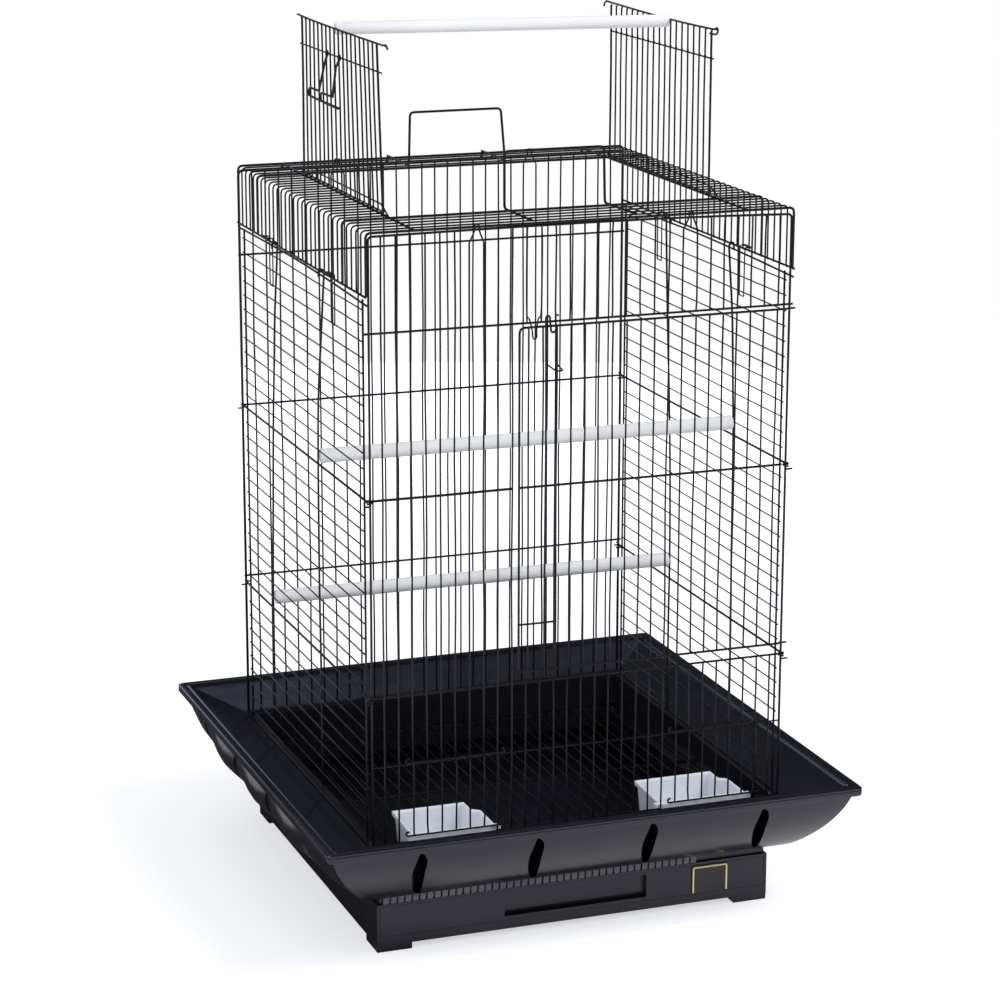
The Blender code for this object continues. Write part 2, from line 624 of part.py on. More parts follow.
# Play doors, their latch and the play perch
def build_play_top():
    across = even(PLAY_DOOR_MIDDLE_Y - PLAY_DOOR_HALF_Y, PLAY_DOOR_MIDDLE_Y + PLAY_DOOR_HALF_Y,
                  PLAY_DOOR_SPACES)
    up = [0.0, PLAY_RAIL_Z - PLAY_HINGE_Z, PLAY_DOOR_HEIGHT]
    for name, side in (("left_play_door", -1), ("right_play_door", 1)):
        door = lattice(name, across, up)
        door.rotation_euler.z = math.radians(90)
        door.location = (side * OPENING_HALF_X, 0.0, PLAY_HINGE_Z)

    latch_radius = WIRE / 2
    latch_x = -OPENING_HALF_X - WIRE / 2 - RUN_GAP - latch_radius
    pivot = hinge_empty("play_door_latch_pivot", (latch_x, 0.0, PLAY_RAIL_Z))
    low = -PLAY_LATCH_LENGTH
    foot = PLAY_LATCH_FOOT
    middle = PLAY_DOOR_MIDDLE_Y + PLAY_LATCH_MIDDLE_SPACE * PLAY_PITCH
    leg_near = middle - PLAY_LATCH_SPACES / 2 * PLAY_PITCH
    leg_far = middle + PLAY_LATCH_SPACES / 2 * PLAY_PITCH
    route = bend_route([
        (0.0, leg_near - foot, low + foot),
        (0.0, leg_near - foot, low),
        (0.0, leg_near, low),
        (0.0, leg_near, 0.0),
        (0.0, leg_far, 0.0),
        (0.0, leg_far, low),
        (0.0, leg_far + foot, low),
        (0.0, leg_far + foot, low + foot),
    ], WIRE_BEND)
    latch = wire("play_door_latch", route, latch_radius)
    latch.parent = pivot

    lean = PLAY_PITCH * PLAY_PERCH_LEAN_SPACES
    left = Vector((-OPENING_HALF_X, PLAY_DOOR_MIDDLE_Y + lean, PLAY_TOP_Z))
    right = Vector((OPENING_HALF_X, PLAY_DOOR_MIDDLE_Y - lean, PLAY_TOP_Z))
    along = (right - left).normalized()
    body_inset = WIRE / 2 + PLAY_PERCH_STEP
    perch = rod("play_perch", left + along * body_inset, right - along * body_inset,
                PLAY_PERCH_RADIUS, PERCH_GREY)
    peg = rod("perch_pegs", left - along * PLAY_PERCH_PEG_REACH, right + along * PLAY_PERCH_PEG_REACH,
              PLAY_PERCH_PEG_RADIUS, None)
    PARTS.objects.unlink(peg)
    CUTTERS.objects.link(peg)
    peg.hide_render = True
    peg.display_type = "WIRE"
    boolean(perch, peg, "UNION")
    slot = WIRE / 2 + PLAY_PERCH_PLAY
    drop = PLAY_PERCH_RADIUS + NOTCH_EXTRA_DROP
    notches = bmesh.new()
    for side, seat in ((1, left), (-1, right)):
        outline = [(-slot, slot), (slot, slot), (slot + drop + slot, -drop), (-slot, -drop)]
        ring = []
        for x, z in outline:
            corner = (seat.x + side * x, seat.y - NOTCH_HALF_WIDTH, seat.z + z)
            ring.append(notches.verts.new(corner))
        face = notches.faces.new(ring)
        made = bmesh.ops.extrude_face_region(notches, geom=[face])
        moved = [item for item in made["geom"] if isinstance(item, bmesh.types.BMVert)]
        bmesh.ops.translate(notches, vec=(0.0, 2 * NOTCH_HALF_WIDTH, 0.0), verts=moved)
    bmesh.ops.recalc_face_normals(notches, faces=notches.faces)
    boolean(perch, add_cutter("perch_notches", mesh_from("perch_notches", notches)))


# Front door with its lift latch
def build_front_door():
    stile = FRONT_DOOR_EDGE_X + WIRE + DOOR_EDGE_GAP
    last_bar = FRONT_DOOR_FIRST_BAR_X + FRONT_DOOR_SPACES * FRONT_DOOR_PITCH
    bars = even(FRONT_DOOR_FIRST_BAR_X, last_bar, FRONT_DOOR_SPACES)
    across = [x - FRONT_HINGE_X for x in (stile, *bars, FRONT_HINGE_X)]
    up = [FRONT_DOOR_BOTTOM_Z, MIDDLE_RAIL_Z, FRONT_DOOR_TOP_Z]
    door = lattice("front_door", across, up)
    door.location = (FRONT_HINGE_X, -CAGE_HALF, 0.0)

    layer = FRONT_LAYER_Y
    top = FRONT_DOOR_TOP_Z + LATCH_HOOK
    bottom = FRONT_DOOR_BOTTOM_Z - LATCH_HOOK / 2
    thumb_z = FRONT_DOOR_TOP_Z - LATCH_RETURN
    left = LATCH_X - LATCH_HALF
    right = LATCH_X + LATCH_HALF
    route = bend_route([
        (right + LATCH_THUMB, layer, thumb_z),
        (right, layer, thumb_z),
        (right, layer, top),
        (left, layer, top),
        (left, layer, bottom),
        (right, layer, bottom),
        (right, layer, FRONT_DOOR_BOTTOM_Z + LATCH_RETURN),
    ], WIRE_BEND)
    wire("front_door_latch", route, WIRE / 2)


# Sliding feeder doors and their cups
def build_feeders():
    for name, side in (("left", -1), ("right", 1)):
        left, right = feeder_span(side)
        across = even(left + FRONT_PITCH, right, FEEDER_SPACES - 1)
        up = [PANEL_BOTTOM_Z + FEEDER_RAIL_RISE, FEEDER_RAIL_Z + FEEDER_TOP_RISE]
        door = lattice(name + "_feeder_door", across, up)
        door.location.y = FRONT_LAYER_Y

        middle = (left + right) / 2
        top = LEDGE_Z + GAP + CUP_FLANGE
        front = -PIT_HALF + GAP
        outer = [((middle - CUP_WIDTH / 2, front, top - CUP_HEIGHT),
                  (middle + CUP_WIDTH / 2, front + CUP_DEPTH, top))]
        cup = add_object(name + "_cup", boxes(name + "_cup", outer), CUP_WHITE)
        lip_front = -CAGE_HALF + WIRE / 2 + GAP
        lip = [((middle - CUP_FLANGE_WIDTH / 2, lip_front, top - CUP_FLANGE),
                (middle + CUP_FLANGE_WIDTH / 2, front + CUP_WALL / 2, top))]
        boolean(cup, add_cutter(name + "_cup_lip", boxes(name + "_cup_lip", lip)), "UNION")
        hollow = [((middle - CUP_WIDTH / 2 + CUP_WALL, front + CUP_WALL, top - CUP_HEIGHT + CUP_WALL),
                   (middle + CUP_WIDTH / 2 - CUP_WALL, front + CUP_DEPTH - CUP_WALL, top + CUT_MARGIN))]
        boolean(cup, add_cutter(name + "_cup_hollow", boxes(name + "_cup_hollow", hollow)))


# Perches and the four bowed side wires that hold their ends
def smooth_route(points, steps):
    """A route that passes through every point without a kink."""
    ends = [2 * points[0] - points[1], *points, 2 * points[-1] - points[-2]]
    route = [points[0]]
    for before, start, end, after in zip(ends, ends[1:], ends[2:], ends[3:]):
        for step in range(1, steps + 1):
            t = step / steps
            bend = 2 * start + (end - before) * t
            bend += (2 * before - 5 * start + 4 * end - after) * t ** 2
            bend += (3 * start - before - 3 * end + after) * t ** 3
            route.append(bend / 2)
    return route


def build_perches():
    hanger_x = CAGE_HALF - WIRE / 2 - GAP - HEAVY_WIRE / 2
    for (level, side), points in PERCH_WIRES.items():
        name = "left" if side < 0 else "right"
        route = [Vector((side * hanger_x, y, z)) for y, z in points]
        wire(name + "_" + level + "_perch_wire", smooth_route(route, PERCH_WIRE_STEPS), HEAVY_WIRE / 2)
    for level, index in PERCH_POINT_INDEX.items():
        left = Vector((-hanger_x, *PERCH_WIRES[level, -1][index]))
        right = Vector((hanger_x, *PERCH_WIRES[level, 1][index]))
        along = (right - left).normalized()
        inset = HEAVY_WIRE / 2 + GAP
        rod(level + "_perch", left + along * inset, right - along * inset, PERCH_RADIUS, PERCH_GREY)


build_skirt()
build_base()
build_tray()
build_grille()
build_panels()
build_roof()
build_hoops()
build_play_top()
build_front_door()
build_feeders()
build_perches()
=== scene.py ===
"""The looks of the play top bird cage: round powder-coated wires, moulded plastic, camera and light.

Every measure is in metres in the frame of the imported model: +Z up, the front faces -Y.
"""
import math

import bmesh
import bpy
from mathutils import Matrix, Vector

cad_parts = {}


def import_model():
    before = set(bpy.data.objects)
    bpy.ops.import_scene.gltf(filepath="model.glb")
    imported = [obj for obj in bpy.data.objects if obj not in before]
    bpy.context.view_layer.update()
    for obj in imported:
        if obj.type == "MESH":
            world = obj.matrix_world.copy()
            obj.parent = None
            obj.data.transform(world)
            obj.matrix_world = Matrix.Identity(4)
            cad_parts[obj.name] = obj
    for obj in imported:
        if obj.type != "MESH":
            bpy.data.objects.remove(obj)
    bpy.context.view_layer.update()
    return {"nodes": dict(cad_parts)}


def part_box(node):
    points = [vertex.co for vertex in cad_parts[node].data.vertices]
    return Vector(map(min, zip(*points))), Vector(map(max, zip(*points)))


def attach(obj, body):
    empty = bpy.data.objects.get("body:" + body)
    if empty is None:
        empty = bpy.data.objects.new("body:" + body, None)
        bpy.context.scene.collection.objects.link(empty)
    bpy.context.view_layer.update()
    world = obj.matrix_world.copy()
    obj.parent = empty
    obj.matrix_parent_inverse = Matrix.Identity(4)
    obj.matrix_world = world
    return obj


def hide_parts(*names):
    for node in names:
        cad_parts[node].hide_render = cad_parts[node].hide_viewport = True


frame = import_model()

# Half of the cage's side, the spaces between upright bars, and the heights of rails and roof
HALF = 0.2286
SPACES = 30
PITCH = 2 * HALF / SPACES
BOTTOM = 0.1214
FEEDER_RAIL = 0.204
LOW_RAIL = 0.278
BACK_LOW_RAIL = 0.285
MID_RAIL = 0.484
HIGH_RAIL = 0.653
SHOULDER = 0.689
ROOF = 0.753

# Where rails, legs and posts end, how far the level rails lie behind the bars, and how far a latch or a
# feeder door lies outside the wires it rests on
RAIL_END = HALF + 0.0022
LEG = 0.2262
FOOT = BOTTOM - 0.0008
SIDE_POST = HALF - PITCH
RAIL_SHIFT = 0.0017
LAYER = 0.0026

# Bars that close into hooks, the last one left of the front door, and those left of each feeder opening
HOOKED_BARS = (7, 8, 22, 23)
HOOK_FOOT = 0.7375
DOOR_BAR = 10
FEEDER_BARS = (2, 21)
FEEDER_SPACES = 7

# Level rows of the side panels
ROW_LOW = 0.1295
ROW_STEP = 0.01606
ROWS = 35

# The play opening in the roof, as bars from the edge and as measures, and the carry hoops' feet
OPENING_BAR = 5
OPENING_X = 0.178
OPENING_Y = HALF - OPENING_BAR * PITCH
STRIP_X = 0.056

# Radii of wires, size of a weld bead and shape of a wire's domed end as shares of its radius
BAR = 0.00098
RAIL = 0.00092
THIN = 0.00078
STRONG = 0.0012
FRAME = 0.00125
HEAVY = 0.0014
WELD = (0.0014, 0.0012, 0.0013)
BEAD_SIDES = 6
BEAD_TURN = math.pi / 4.4
DOME_DEPTH = 0.35
DOME_WIDTH = 0.72

# Depth of the fine grain on the cage's materials
GRAIN = 0.0002


# Helpers for materials
def material(name):
    """A new node material with its nodes, links and shader."""
    made = bpy.data.materials.new(name)
    made.use_nodes = True
    tree = made.node_tree
    return made, tree.nodes, tree.links, tree.nodes["Principled BSDF"]


def put(node, values):
    """Set a node's inputs by name."""
    for name, value in values.items():
        node.inputs[name].default_value = value


def noise(nodes, links, scale, detail, roughness=0.5, stretch=(1, 1, 1)):
    """Noise in object coordinates, stretched along the axes."""
    place = nodes.new("ShaderNodeTexCoord")
    mapping = nodes.new("ShaderNodeMapping")
    put(mapping, {"Scale": stretch})
    texture = nodes.new("ShaderNodeTexNoise")
    put(texture, {"Scale": scale, "Detail": detail, "Roughness": roughness})
    links.new(place.outputs["Object"], mapping.inputs["Vector"])
    links.new(mapping.outputs["Vector"], texture.inputs["Vector"])
    return texture.outputs["Fac"]


def ramp(nodes, links, source, stops):
    """A colour ramp fed by a value; its two stops are (place, colour)."""
    made = nodes.new("ShaderNodeValToRGB")
    for element, (place, colour) in zip(made.color_ramp.elements, stops):
        element.position = place
        element.color = (*colour, 1.0)
    links.new(source, made.inputs["Fac"])
    return made.outputs["Color"]


def map_range(nodes, links, source, given, wanted, soft=False):
    """A value mapped from the given range onto the wanted one."""
    made = nodes.new("ShaderNodeMapRange")
    if soft:
        made.interpolation_type = "SMOOTHSTEP"
    put(made, {"From Min": given[0], "From Max": given[1], "To Min": wanted[0], "To Max": wanted[1]})
    links.new(source, made.inputs["Value"])
    return made.outputs["Result"]


def combine(nodes, links, operation, first, second):
    """Two values joined by a sum or a product."""
    made = nodes.new("ShaderNodeMath")
    made.operation = operation
    links.new(first, made.inputs[0])
    links.new(second, made.inputs[1])
    return made.outputs["Value"]


def mix_shaders(nodes, links, factor, first, second):
    """A blend from the first shader to the second."""
    made = nodes.new("ShaderNodeMixShader")
    links.new(factor, made.inputs["Fac"])
    links.new(first, made.inputs[1])
    links.new(second, made.inputs[2])
    return made.outputs["Shader"]


def surface(nodes, links, shader, colour, rough, grain, relief):
    """Feed a shader's colour, roughness and fine relief."""
    links.new(colour, shader.inputs["Base Color"])
    links.new(rough, shader.inputs["Roughness"])
    bump = nodes.new("ShaderNodeBump")
    put(bump, {"Strength": relief, "Distance": GRAIN})
    links.new(grain, bump.inputs["Height"])
    links.new(bump.outputs["Normal"], shader.inputs["Normal"])


def wire_finish():
    """Black powder coat: orange peel, thin spots and a soft gloss."""
    made, nodes, links, shader = material("wire_powder_coat")
    peel = noise(nodes, links, 900.0, 2.0)
    patches = noise(nodes, links, 38.0, 4.0)
    colour = ramp(nodes, links, patches, [(0.3, (0.0040, 0.0040, 0.0046)), (0.7, (0.0075, 0.0076, 0.0086))])
    rough = map_range(nodes, links, patches, (0.3, 0.7), (0.40, 0.52))
    put(shader, {"Specular IOR Level": 0.3})
    surface(nodes, links, shader, colour, rough, peel, 0.25)
    return made


def plastic_finish(name, dark, light, smoothest, roughest, relief):
    """Moulded black plastic: flow marks, light scuffs and a fine mould grain."""
    made, nodes, links, shader = material(name)
    grain = noise(nodes, links, 1400.0, 2.0)
    flow = noise(nodes, links, 9.0, 5.0, 0.6, (1.0, 1.0, 4.0))
    scuff = noise(nodes, links, 60.0, 6.0, 0.7, (1.0, 1.0, 2.0))
    colour = ramp(nodes, links, flow, [(0.35, dark), (0.7, light)])
    wear = combine(nodes, links, "MULTIPLY", flow, scuff)
    rough = map_range(nodes, links, wear, (0.15, 0.40), (smoothest, roughest))
    put(shader, {"Specular IOR Level": 0.5, "Specular Tint": (0.90, 0.88, 1.0, 1.0)})
    surface(nodes, links, shader, colour, rough, grain, relief)
    return made


def pale_finish(name, dark, light, rough, stretch, glow=0.0):
    """Pale plastic: faint streaks along the piece, slight translucency."""
    made, nodes, links, shader = material(name)
    streak = noise(nodes, links, 55.0, 4.0, 0.55, stretch)
    grain = noise(nodes, links, 700.0, 2.0)
    colour = ramp(nodes, links, streak, [(0.3, dark), (0.7, light)])
    uneven = map_range(nodes, links, streak, (0.3, 0.7), (rough - 0.05, rough + 0.08))
    put(shader, {"Subsurface Weight": glow, "Subsurface Radius": (0.004, 0.004, 0.004)})
    surface(nodes, links, shader, colour, uneven, grain, 0.12)
    return made


WIRE = wire_finish()
PLASTIC = plastic_finish("black_plastic_gloss", (0.0055, 0.0055, 0.0088), (0.0085, 0.0085, 0.0130),
                         0.15, 0.24, 0.05)
SATIN = plastic_finish("black_plastic_satin", (0.0045, 0.0045, 0.0085), (0.0070, 0.0070, 0.0120),
                       0.28, 0.38, 0.10)
PERCH = pale_finish("perch_plastic", (0.65, 0.653, 0.66), (0.72, 0.723, 0.73), 0.42, (0.15, 1, 1), 0.10)
CUP = pale_finish("cup_plastic", (0.69, 0.71, 0.77), (0.77, 0.79, 0.84), 0.32, (1, 1, 1), 0.10)
PLATE = plastic_finish("label_field", (0.010, 0.008, 0.005), (0.016, 0.013, 0.008), 0.32, 0.45, 0.08)
PLATE_EDGE = pale_finish("label_border", (0.58, 0.49, 0.19), (0.68, 0.59, 0.27), 0.38, (1, 1, 1))
# The ribs are the same black plastic, coloured much lighter: a painted highlight along the ribs, not their
# own colour
RIB_PAINTED_HIGHLIGHT = plastic_finish("black_plastic_ribs_painted_highlight", (0.10, 0.10, 0.115), (0.16, 0.16, 0.18), 0.22, 0.30, 0.05)


# Helpers for pieces
def add_object(name, data):
    """A new object in the scene."""
    made = bpy.data.objects.new(name, data)
    bpy.context.scene.collection.objects.link(made)
    return made


def shade(mesh, sharp):
    """Smooth shading, but sharp where faces meet at more than an angle in degrees."""
    mesh.polygons.foreach_set("use_smooth", [True] * len(mesh.polygons))
    mesh.set_sharp_from_angle(angle=math.radians(sharp))


def settle(piece, body, nodes):
    """Ride a piece on its body and hide the nodes it stands for."""
    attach(piece, body)
    if nodes:
        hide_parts(*nodes)


def soften(piece, width, angle=32):
    """Small rounded edges, as on a moulding."""
    edge = piece.modifiers.new("edge", "BEVEL")
    edge.width = width
    edge.segments = 2
    edge.limit_method = "ANGLE"
    edge.angle_limit = math.radians(angle)
    edge.harden_normals = True


def mould(name, points, faces, finish, bevel, body, nodes):
    """A closed moulded shape, with softened edges where a bevel is given."""
    mesh = bpy.data.meshes.new(name)
    mesh.from_pydata(points, [], faces)
    shape = bmesh.new()
    shape.from_mesh(mesh)
    bmesh.ops.recalc_face_normals(shape, faces=shape.faces)
    shape.to_mesh(mesh)
    shape.free()
    mesh.materials.append(finish)
    shade(mesh, 35)
    piece = add_object(name, mesh)
    if bevel:
        soften(piece, bevel)
    settle(piece, body, nodes)
    return piece


def circle(centre, across, up, radius, sides):
    """Points round a centre."""
    points = []
    for k in range(sides):
        angle = 2 * math.pi * k / sides
        points.append(centre + (across * math.cos(angle) + up * math.sin(angle)) * radius)
    return points


def ring_faces(rings, around, base=0, endless=False):
    """Faces that join rings of points; a row of rings that has ends is capped at both."""
    faces = []
    for i in range(rings if endless else rings - 1):
        a, b = base + i * around, base + (i + 1) % rings * around
        for k in range(around):
            n = (k + 1) % around
            faces.append((a + k, a + n, b + n, b + k))
    if not endless:
        last = base + (rings - 1) * around
        faces.append(tuple(reversed(range(base, base + around))))
        faces.append(tuple(range(last, last + around)))
    return faces


class Wires:
    """Gathers round wires, weld beads and curls into one mesh."""

    def __init__(self):
        self.points = []
        self.faces = []

    def path(self, route, radius, sides=8):
        """A round wire along a route, with slightly domed cut ends."""
        route = [Vector(p) for p in route]
        last = len(route) - 1
        tangents = [(route[min(i + 1, last)] - route[max(i - 1, 0)]).normalized() for i in range(last + 1)]
        side = Vector((0, 0, 1)) if abs(tangents[0].z) < 0.9 else Vector((1, 0, 0))
        rings = []
        for centre, tangent in zip(route, tangents):
            side = (side - tangent * side.dot(tangent)).normalized()
            rings.append((centre, side, tangent.cross(side), radius))
        first, final = rings[0], rings[-1]
        dome = radius * DOME_DEPTH
        rings[0] = (first[0] + tangents[0] * dome, *first[1:])
        rings[-1] = (final[0] - tangents[-1] * dome, *final[1:])
        rings = [(*first[:3], radius * DOME_WIDTH), *rings, (*final[:3], radius * DOME_WIDTH)]
        self.faces += ring_faces(len(rings), sides, len(self.points))
        for ring in rings:
            self.points += circle(*ring, sides)

    def bent(self, points, radius, corner, sides=8, steps=4):
        """A wire with rounded corners."""
        self.path(rounded(points, corner, steps), radius, sides)

    def bead(self, centre, size):
        """A small weld bead with a radius for each axis."""
        centre = Vector(centre)
        across, deep, high = Vector((size[0], 0, 0)), Vector((0, size[1], 0)), Vector((0, 0, size[2]))
        base = len(self.points)
        self.points.append(centre - high)
        for turn in (-BEAD_TURN, BEAD_TURN):
            self.points += circle(centre + high * math.sin(turn), across, deep, math.cos(turn), BEAD_SIDES)
        self.points.append(centre + high)
        low_ring = base + 1
        high_ring = low_ring + BEAD_SIDES
        tip = high_ring + BEAD_SIDES
        for k in range(BEAD_SIDES):
            n = (k + 1) % BEAD_SIDES
            self.faces.append((base, low_ring + n, low_ring + k))
            self.faces.append((low_ring + k, low_ring + n, high_ring + n, high_ring + k))
            self.faces.append((tip, high_ring + k, high_ring + n))

    def build(self, name, body, nodes, finish=WIRE):
        """Make the piece, ride it on its body and let it stand for its nodes."""
        mesh = bpy.data.meshes.new(name)
        mesh.from_pydata(self.points, [], self.faces)
        mesh.materials.append(finish)
        shade(mesh, 50)
        settle(add_object(name, mesh), body, nodes)


def rounded(points, corner, steps):
    """Replace each inner corner by a curve that starts that far from it."""
    points = [Vector(p) for p in points]
    route = [points[0]]
    for before, here, after in zip(points, points[1:], points[2:]):
        to_before, to_after = before - here, after - here
        reach = min(corner, to_before.length * 0.49, to_after.length * 0.49)
        start = here + to_before.normalized() * reach
        end = here + to_after.normalized() * reach
        for step in range(steps + 1):
            t = step / steps
            route.append(start.lerp(here, t).lerp(here.lerp(end, t), t))
    route.append(points[-1])
    return route


def smooth(points, steps):
    """A smooth route through every point."""
    points = [Vector(p) for p in points]
    ends = [2 * points[0] - points[1], *points, 2 * points[-1] - points[-2]]
    route = [points[0]]
    for before, start, end, after in zip(ends, ends[1:], ends[2:], ends[3:]):
        for step in range(1, steps + 1):
            t = step / steps
            bend = 2 * start + (end - before) * t
            bend += (2 * before - 5 * start + 4 * end - after) * t ** 2
            bend += (3 * start - before - 3 * end + after) * t ** 3
            route.append(bend / 2)
    return route


def curl(centre, start, turn, radius, plane, steps):
    """Points on an arc in the yz or xz plane, from an angle through a turn, both in degrees."""
    points = []
    for i in range(steps + 1):
        angle = math.radians(start + turn * i / steps)
        a, b = radius * math.cos(angle), radius * math.sin(angle)
        points.append(Vector(centre) + Vector((0, a, b) if plane == "yz" else (a, 0, b)))
    return points


def bar_place(k):
    """Where bar k stands; bars 0 and 30 are the legs of the frame."""
    return -HALF + k * PITCH


def upright(wires, x, y, low, high, index):
    """A nearly straight upright bar; its index picks the small bow it has between its rails."""
    parts = 7
    largest = 0.0007
    route = [(x, y, low)]
    for i in range(1, parts):
        z = low + (high - low) * i / parts
        bow = largest * math.sin(z * 23.0 + index * 2.4) * math.sin(index * 1.7 + 0.6)
        route.append((x + bow, y, z))
    wires.path([*route, (x, y, high)], BAR)


def rail(wires, left, right, y, z, radius=RAIL):
    """A level wire that sags a little in its middle."""
    wires.path([(left, y, z), ((left + right) / 2, y, z - 0.0003), (right, y, z)], radius)


# Front and back panels: a bent frame wire, upright bars and welded rails
def front_bar_spans(k):
    """Where bar k of the front panel has wire, as (low, high) pairs."""
    in_feeder = any(first < k < first + FEEDER_SPACES for first in FEEDER_BARS)
    low = FEEDER_RAIL if in_feeder else BOTTOM
    top = HOOK_FOOT if k in HOOKED_BARS else top_height(bar_place(k))
    if k <= DOOR_BAR:
        return [(low, top)]
    return [(low, LOW_RAIL + 0.001), (HIGH_RAIL - 0.001, top)]


def top_height(x):
    """The front frame's top wire touches the roof in the middle and sags to its ends."""
    sag = 0.0042 if x > 0 else 0.0012
    return 0.7505 - sag * (x / HALF) ** 2


def hook_tongues(wires, y):
    """Pairs of neighbouring bars that close into hooks over the roof's rail."""
    outward = -1.0 if y < 0 else 1.0
    top = ROOF + 0.0022
    half = [(PITCH / 2, 0.0, HOOK_FOOT), (0.0028, 0.0012, HOOK_FOOT + 0.011), (0.0022, 0.0012, top - 0.001),
            (0.0018, -0.0015, top)]
    for k in HOOKED_BARS[::2]:
        middle = bar_place(k) + PITCH / 2
        left = [(middle - x, y + outward * depth, z) for x, depth, z in half]
        right = [(middle + x, y + outward * depth, z) for x, depth, z in reversed(half)]
        wires.path(smooth([*left, (middle, y - outward * 0.0042, top - 0.0006), *right], 3), 0.0009)


# The hairpin over the front door as (x, depth behind the rails, z)
HAIRPIN = [(-0.0608, 0.0, 0.752), (-0.0608, 0.0, 0.668), (-0.0573, 0.001, 0.656), (-0.0545, 0.001, 0.645),
           (-0.0540, 0.0, 0.638), (-0.0520, 0.0, 0.6358), (-0.0500, 0.0, 0.638), (-0.0497, 0.001, 0.645),
           (-0.0480, 0.001, 0.656), (-0.0450, 0.0, 0.668), (-0.0450, 0.0, 0.752)]


def front_panel():
    """The panel with the openings for the door and the feeders, and the hairpin from the roof."""
    wires = Wires()
    y = -HALF
    inner = y + RAIL_SHIFT
    top = [(x, y, top_height(x)) for x in (-LEG, -0.15, -0.075, 0.0, 0.075, 0.15, LEG)]
    wires.bent([(-LEG, y, FOOT), *top, (LEG, y, FOOT)], FRAME, 0.0045, 10, 5)
    for k in range(1, SPACES):
        x = bar_place(k)
        for low, high in front_bar_spans(k):
            upright(wires, x, y, low, high, k)
            for z in (BOTTOM, FEEDER_RAIL, LOW_RAIL, MID_RAIL, HIGH_RAIL):
                if low - 0.002 < z < high + 0.002 and not (z == MID_RAIL and k > DOOR_BAR):
                    wires.bead((x, y + 0.0008, z), WELD)
    hook_tongues(wires, y)
    rail(wires, -RAIL_END, RAIL_END, inner, HIGH_RAIL, STRONG)
    rail(wires, -RAIL_END, -0.0752, inner, MID_RAIL, HEAVY)
    rail(wires, -RAIL_END, RAIL_END, inner, LOW_RAIL, STRONG)
    rail(wires, -LEG, LEG, inner, FEEDER_RAIL)
    # the bottom rail stops at both feeder openings
    edges = [bar_place(first + spaces) for first in FEEDER_BARS for spaces in (0, FEEDER_SPACES)]
    for left, right in ((-LEG, edges[0]), (edges[1], edges[2]), (edges[3], LEG)):
        rail(wires, left, right, inner, BOTTOM)
    # hinge stubs that carry the door's rail ends
    for z in (DOOR_BOTTOM, DOOR_TOP):
        wires.path([(0.2243, inner + 0.0004, z), (0.2336, inner + 0.0004, z)], 0.0011)
    wires.path(smooth([(x, inner + depth, z) for x, depth, z in HAIRPIN], 4), 0.0008)
    wires.build("front_panel_wires", "cage", ["front_panel"])


def back_panel():
    """The panel whose bars all run from the bottom to the top wire."""
    wires = Wires()
    y = HALF
    inner = y - RAIL_SHIFT
    top = 0.7478
    wires.bent([(-HALF, y, FOOT), (-HALF, y, top), (HALF, y, top), (HALF, y, FOOT)], 0.0015, 0.006, 10, 6)
    rails = (BACK_LOW_RAIL, MID_RAIL, HIGH_RAIL + 0.0013)
    for k in range(1, SPACES):
        x = bar_place(k)
        high = HOOK_FOOT if k in HOOKED_BARS else top - 0.0003
        upright(wires, x, y, BOTTOM, high, k + 40)
        for z in (BOTTOM, *rails):
            wires.bead((x, y - 0.0008, z), WELD)
    hook_tongues(wires, y)
    for z in rails:
        rail(wires, -RAIL_END, RAIL_END, inner, z, STRONG)
    rail(wires, -LEG, LEG, inner, BOTTOM)
    # the roof rails end in knots on the top wire
    for x in (-OPENING_X, -STRIP_X, STRIP_X, OPENING_X):
        wires.bead((x, y + 0.0004, 0.7492), (0.0026, 0.0024, 0.0026))
    wires.build("back_panel_wires", "cage", ["back_panel"])


# Side panels: level rows between two posts, with heavy rails that wrap round the corner wires
def wrap(wires, side, end, z):
    """The turn of a side rail round a corner wire, and its short tail."""
    radius, rise, steps = 0.0027, 0.0048, 14
    turns = []
    for step in range(steps + 1):
        angle = math.radians(60 + 34 * step)
        turns.append((side * (0.2265 + radius * math.sin(angle)), end * (HALF - radius * math.cos(angle)),
                      z + rise * (step / steps - 0.5)))
    wires.path(turns, 0.00095, 6)
    tail_z = z - 0.0044
    wires.path([(side * LEG, end * (HALF + 0.0024), tail_z), (side * 0.2334, end * (HALF + 0.0020), tail_z)],
               0.0010, 6)


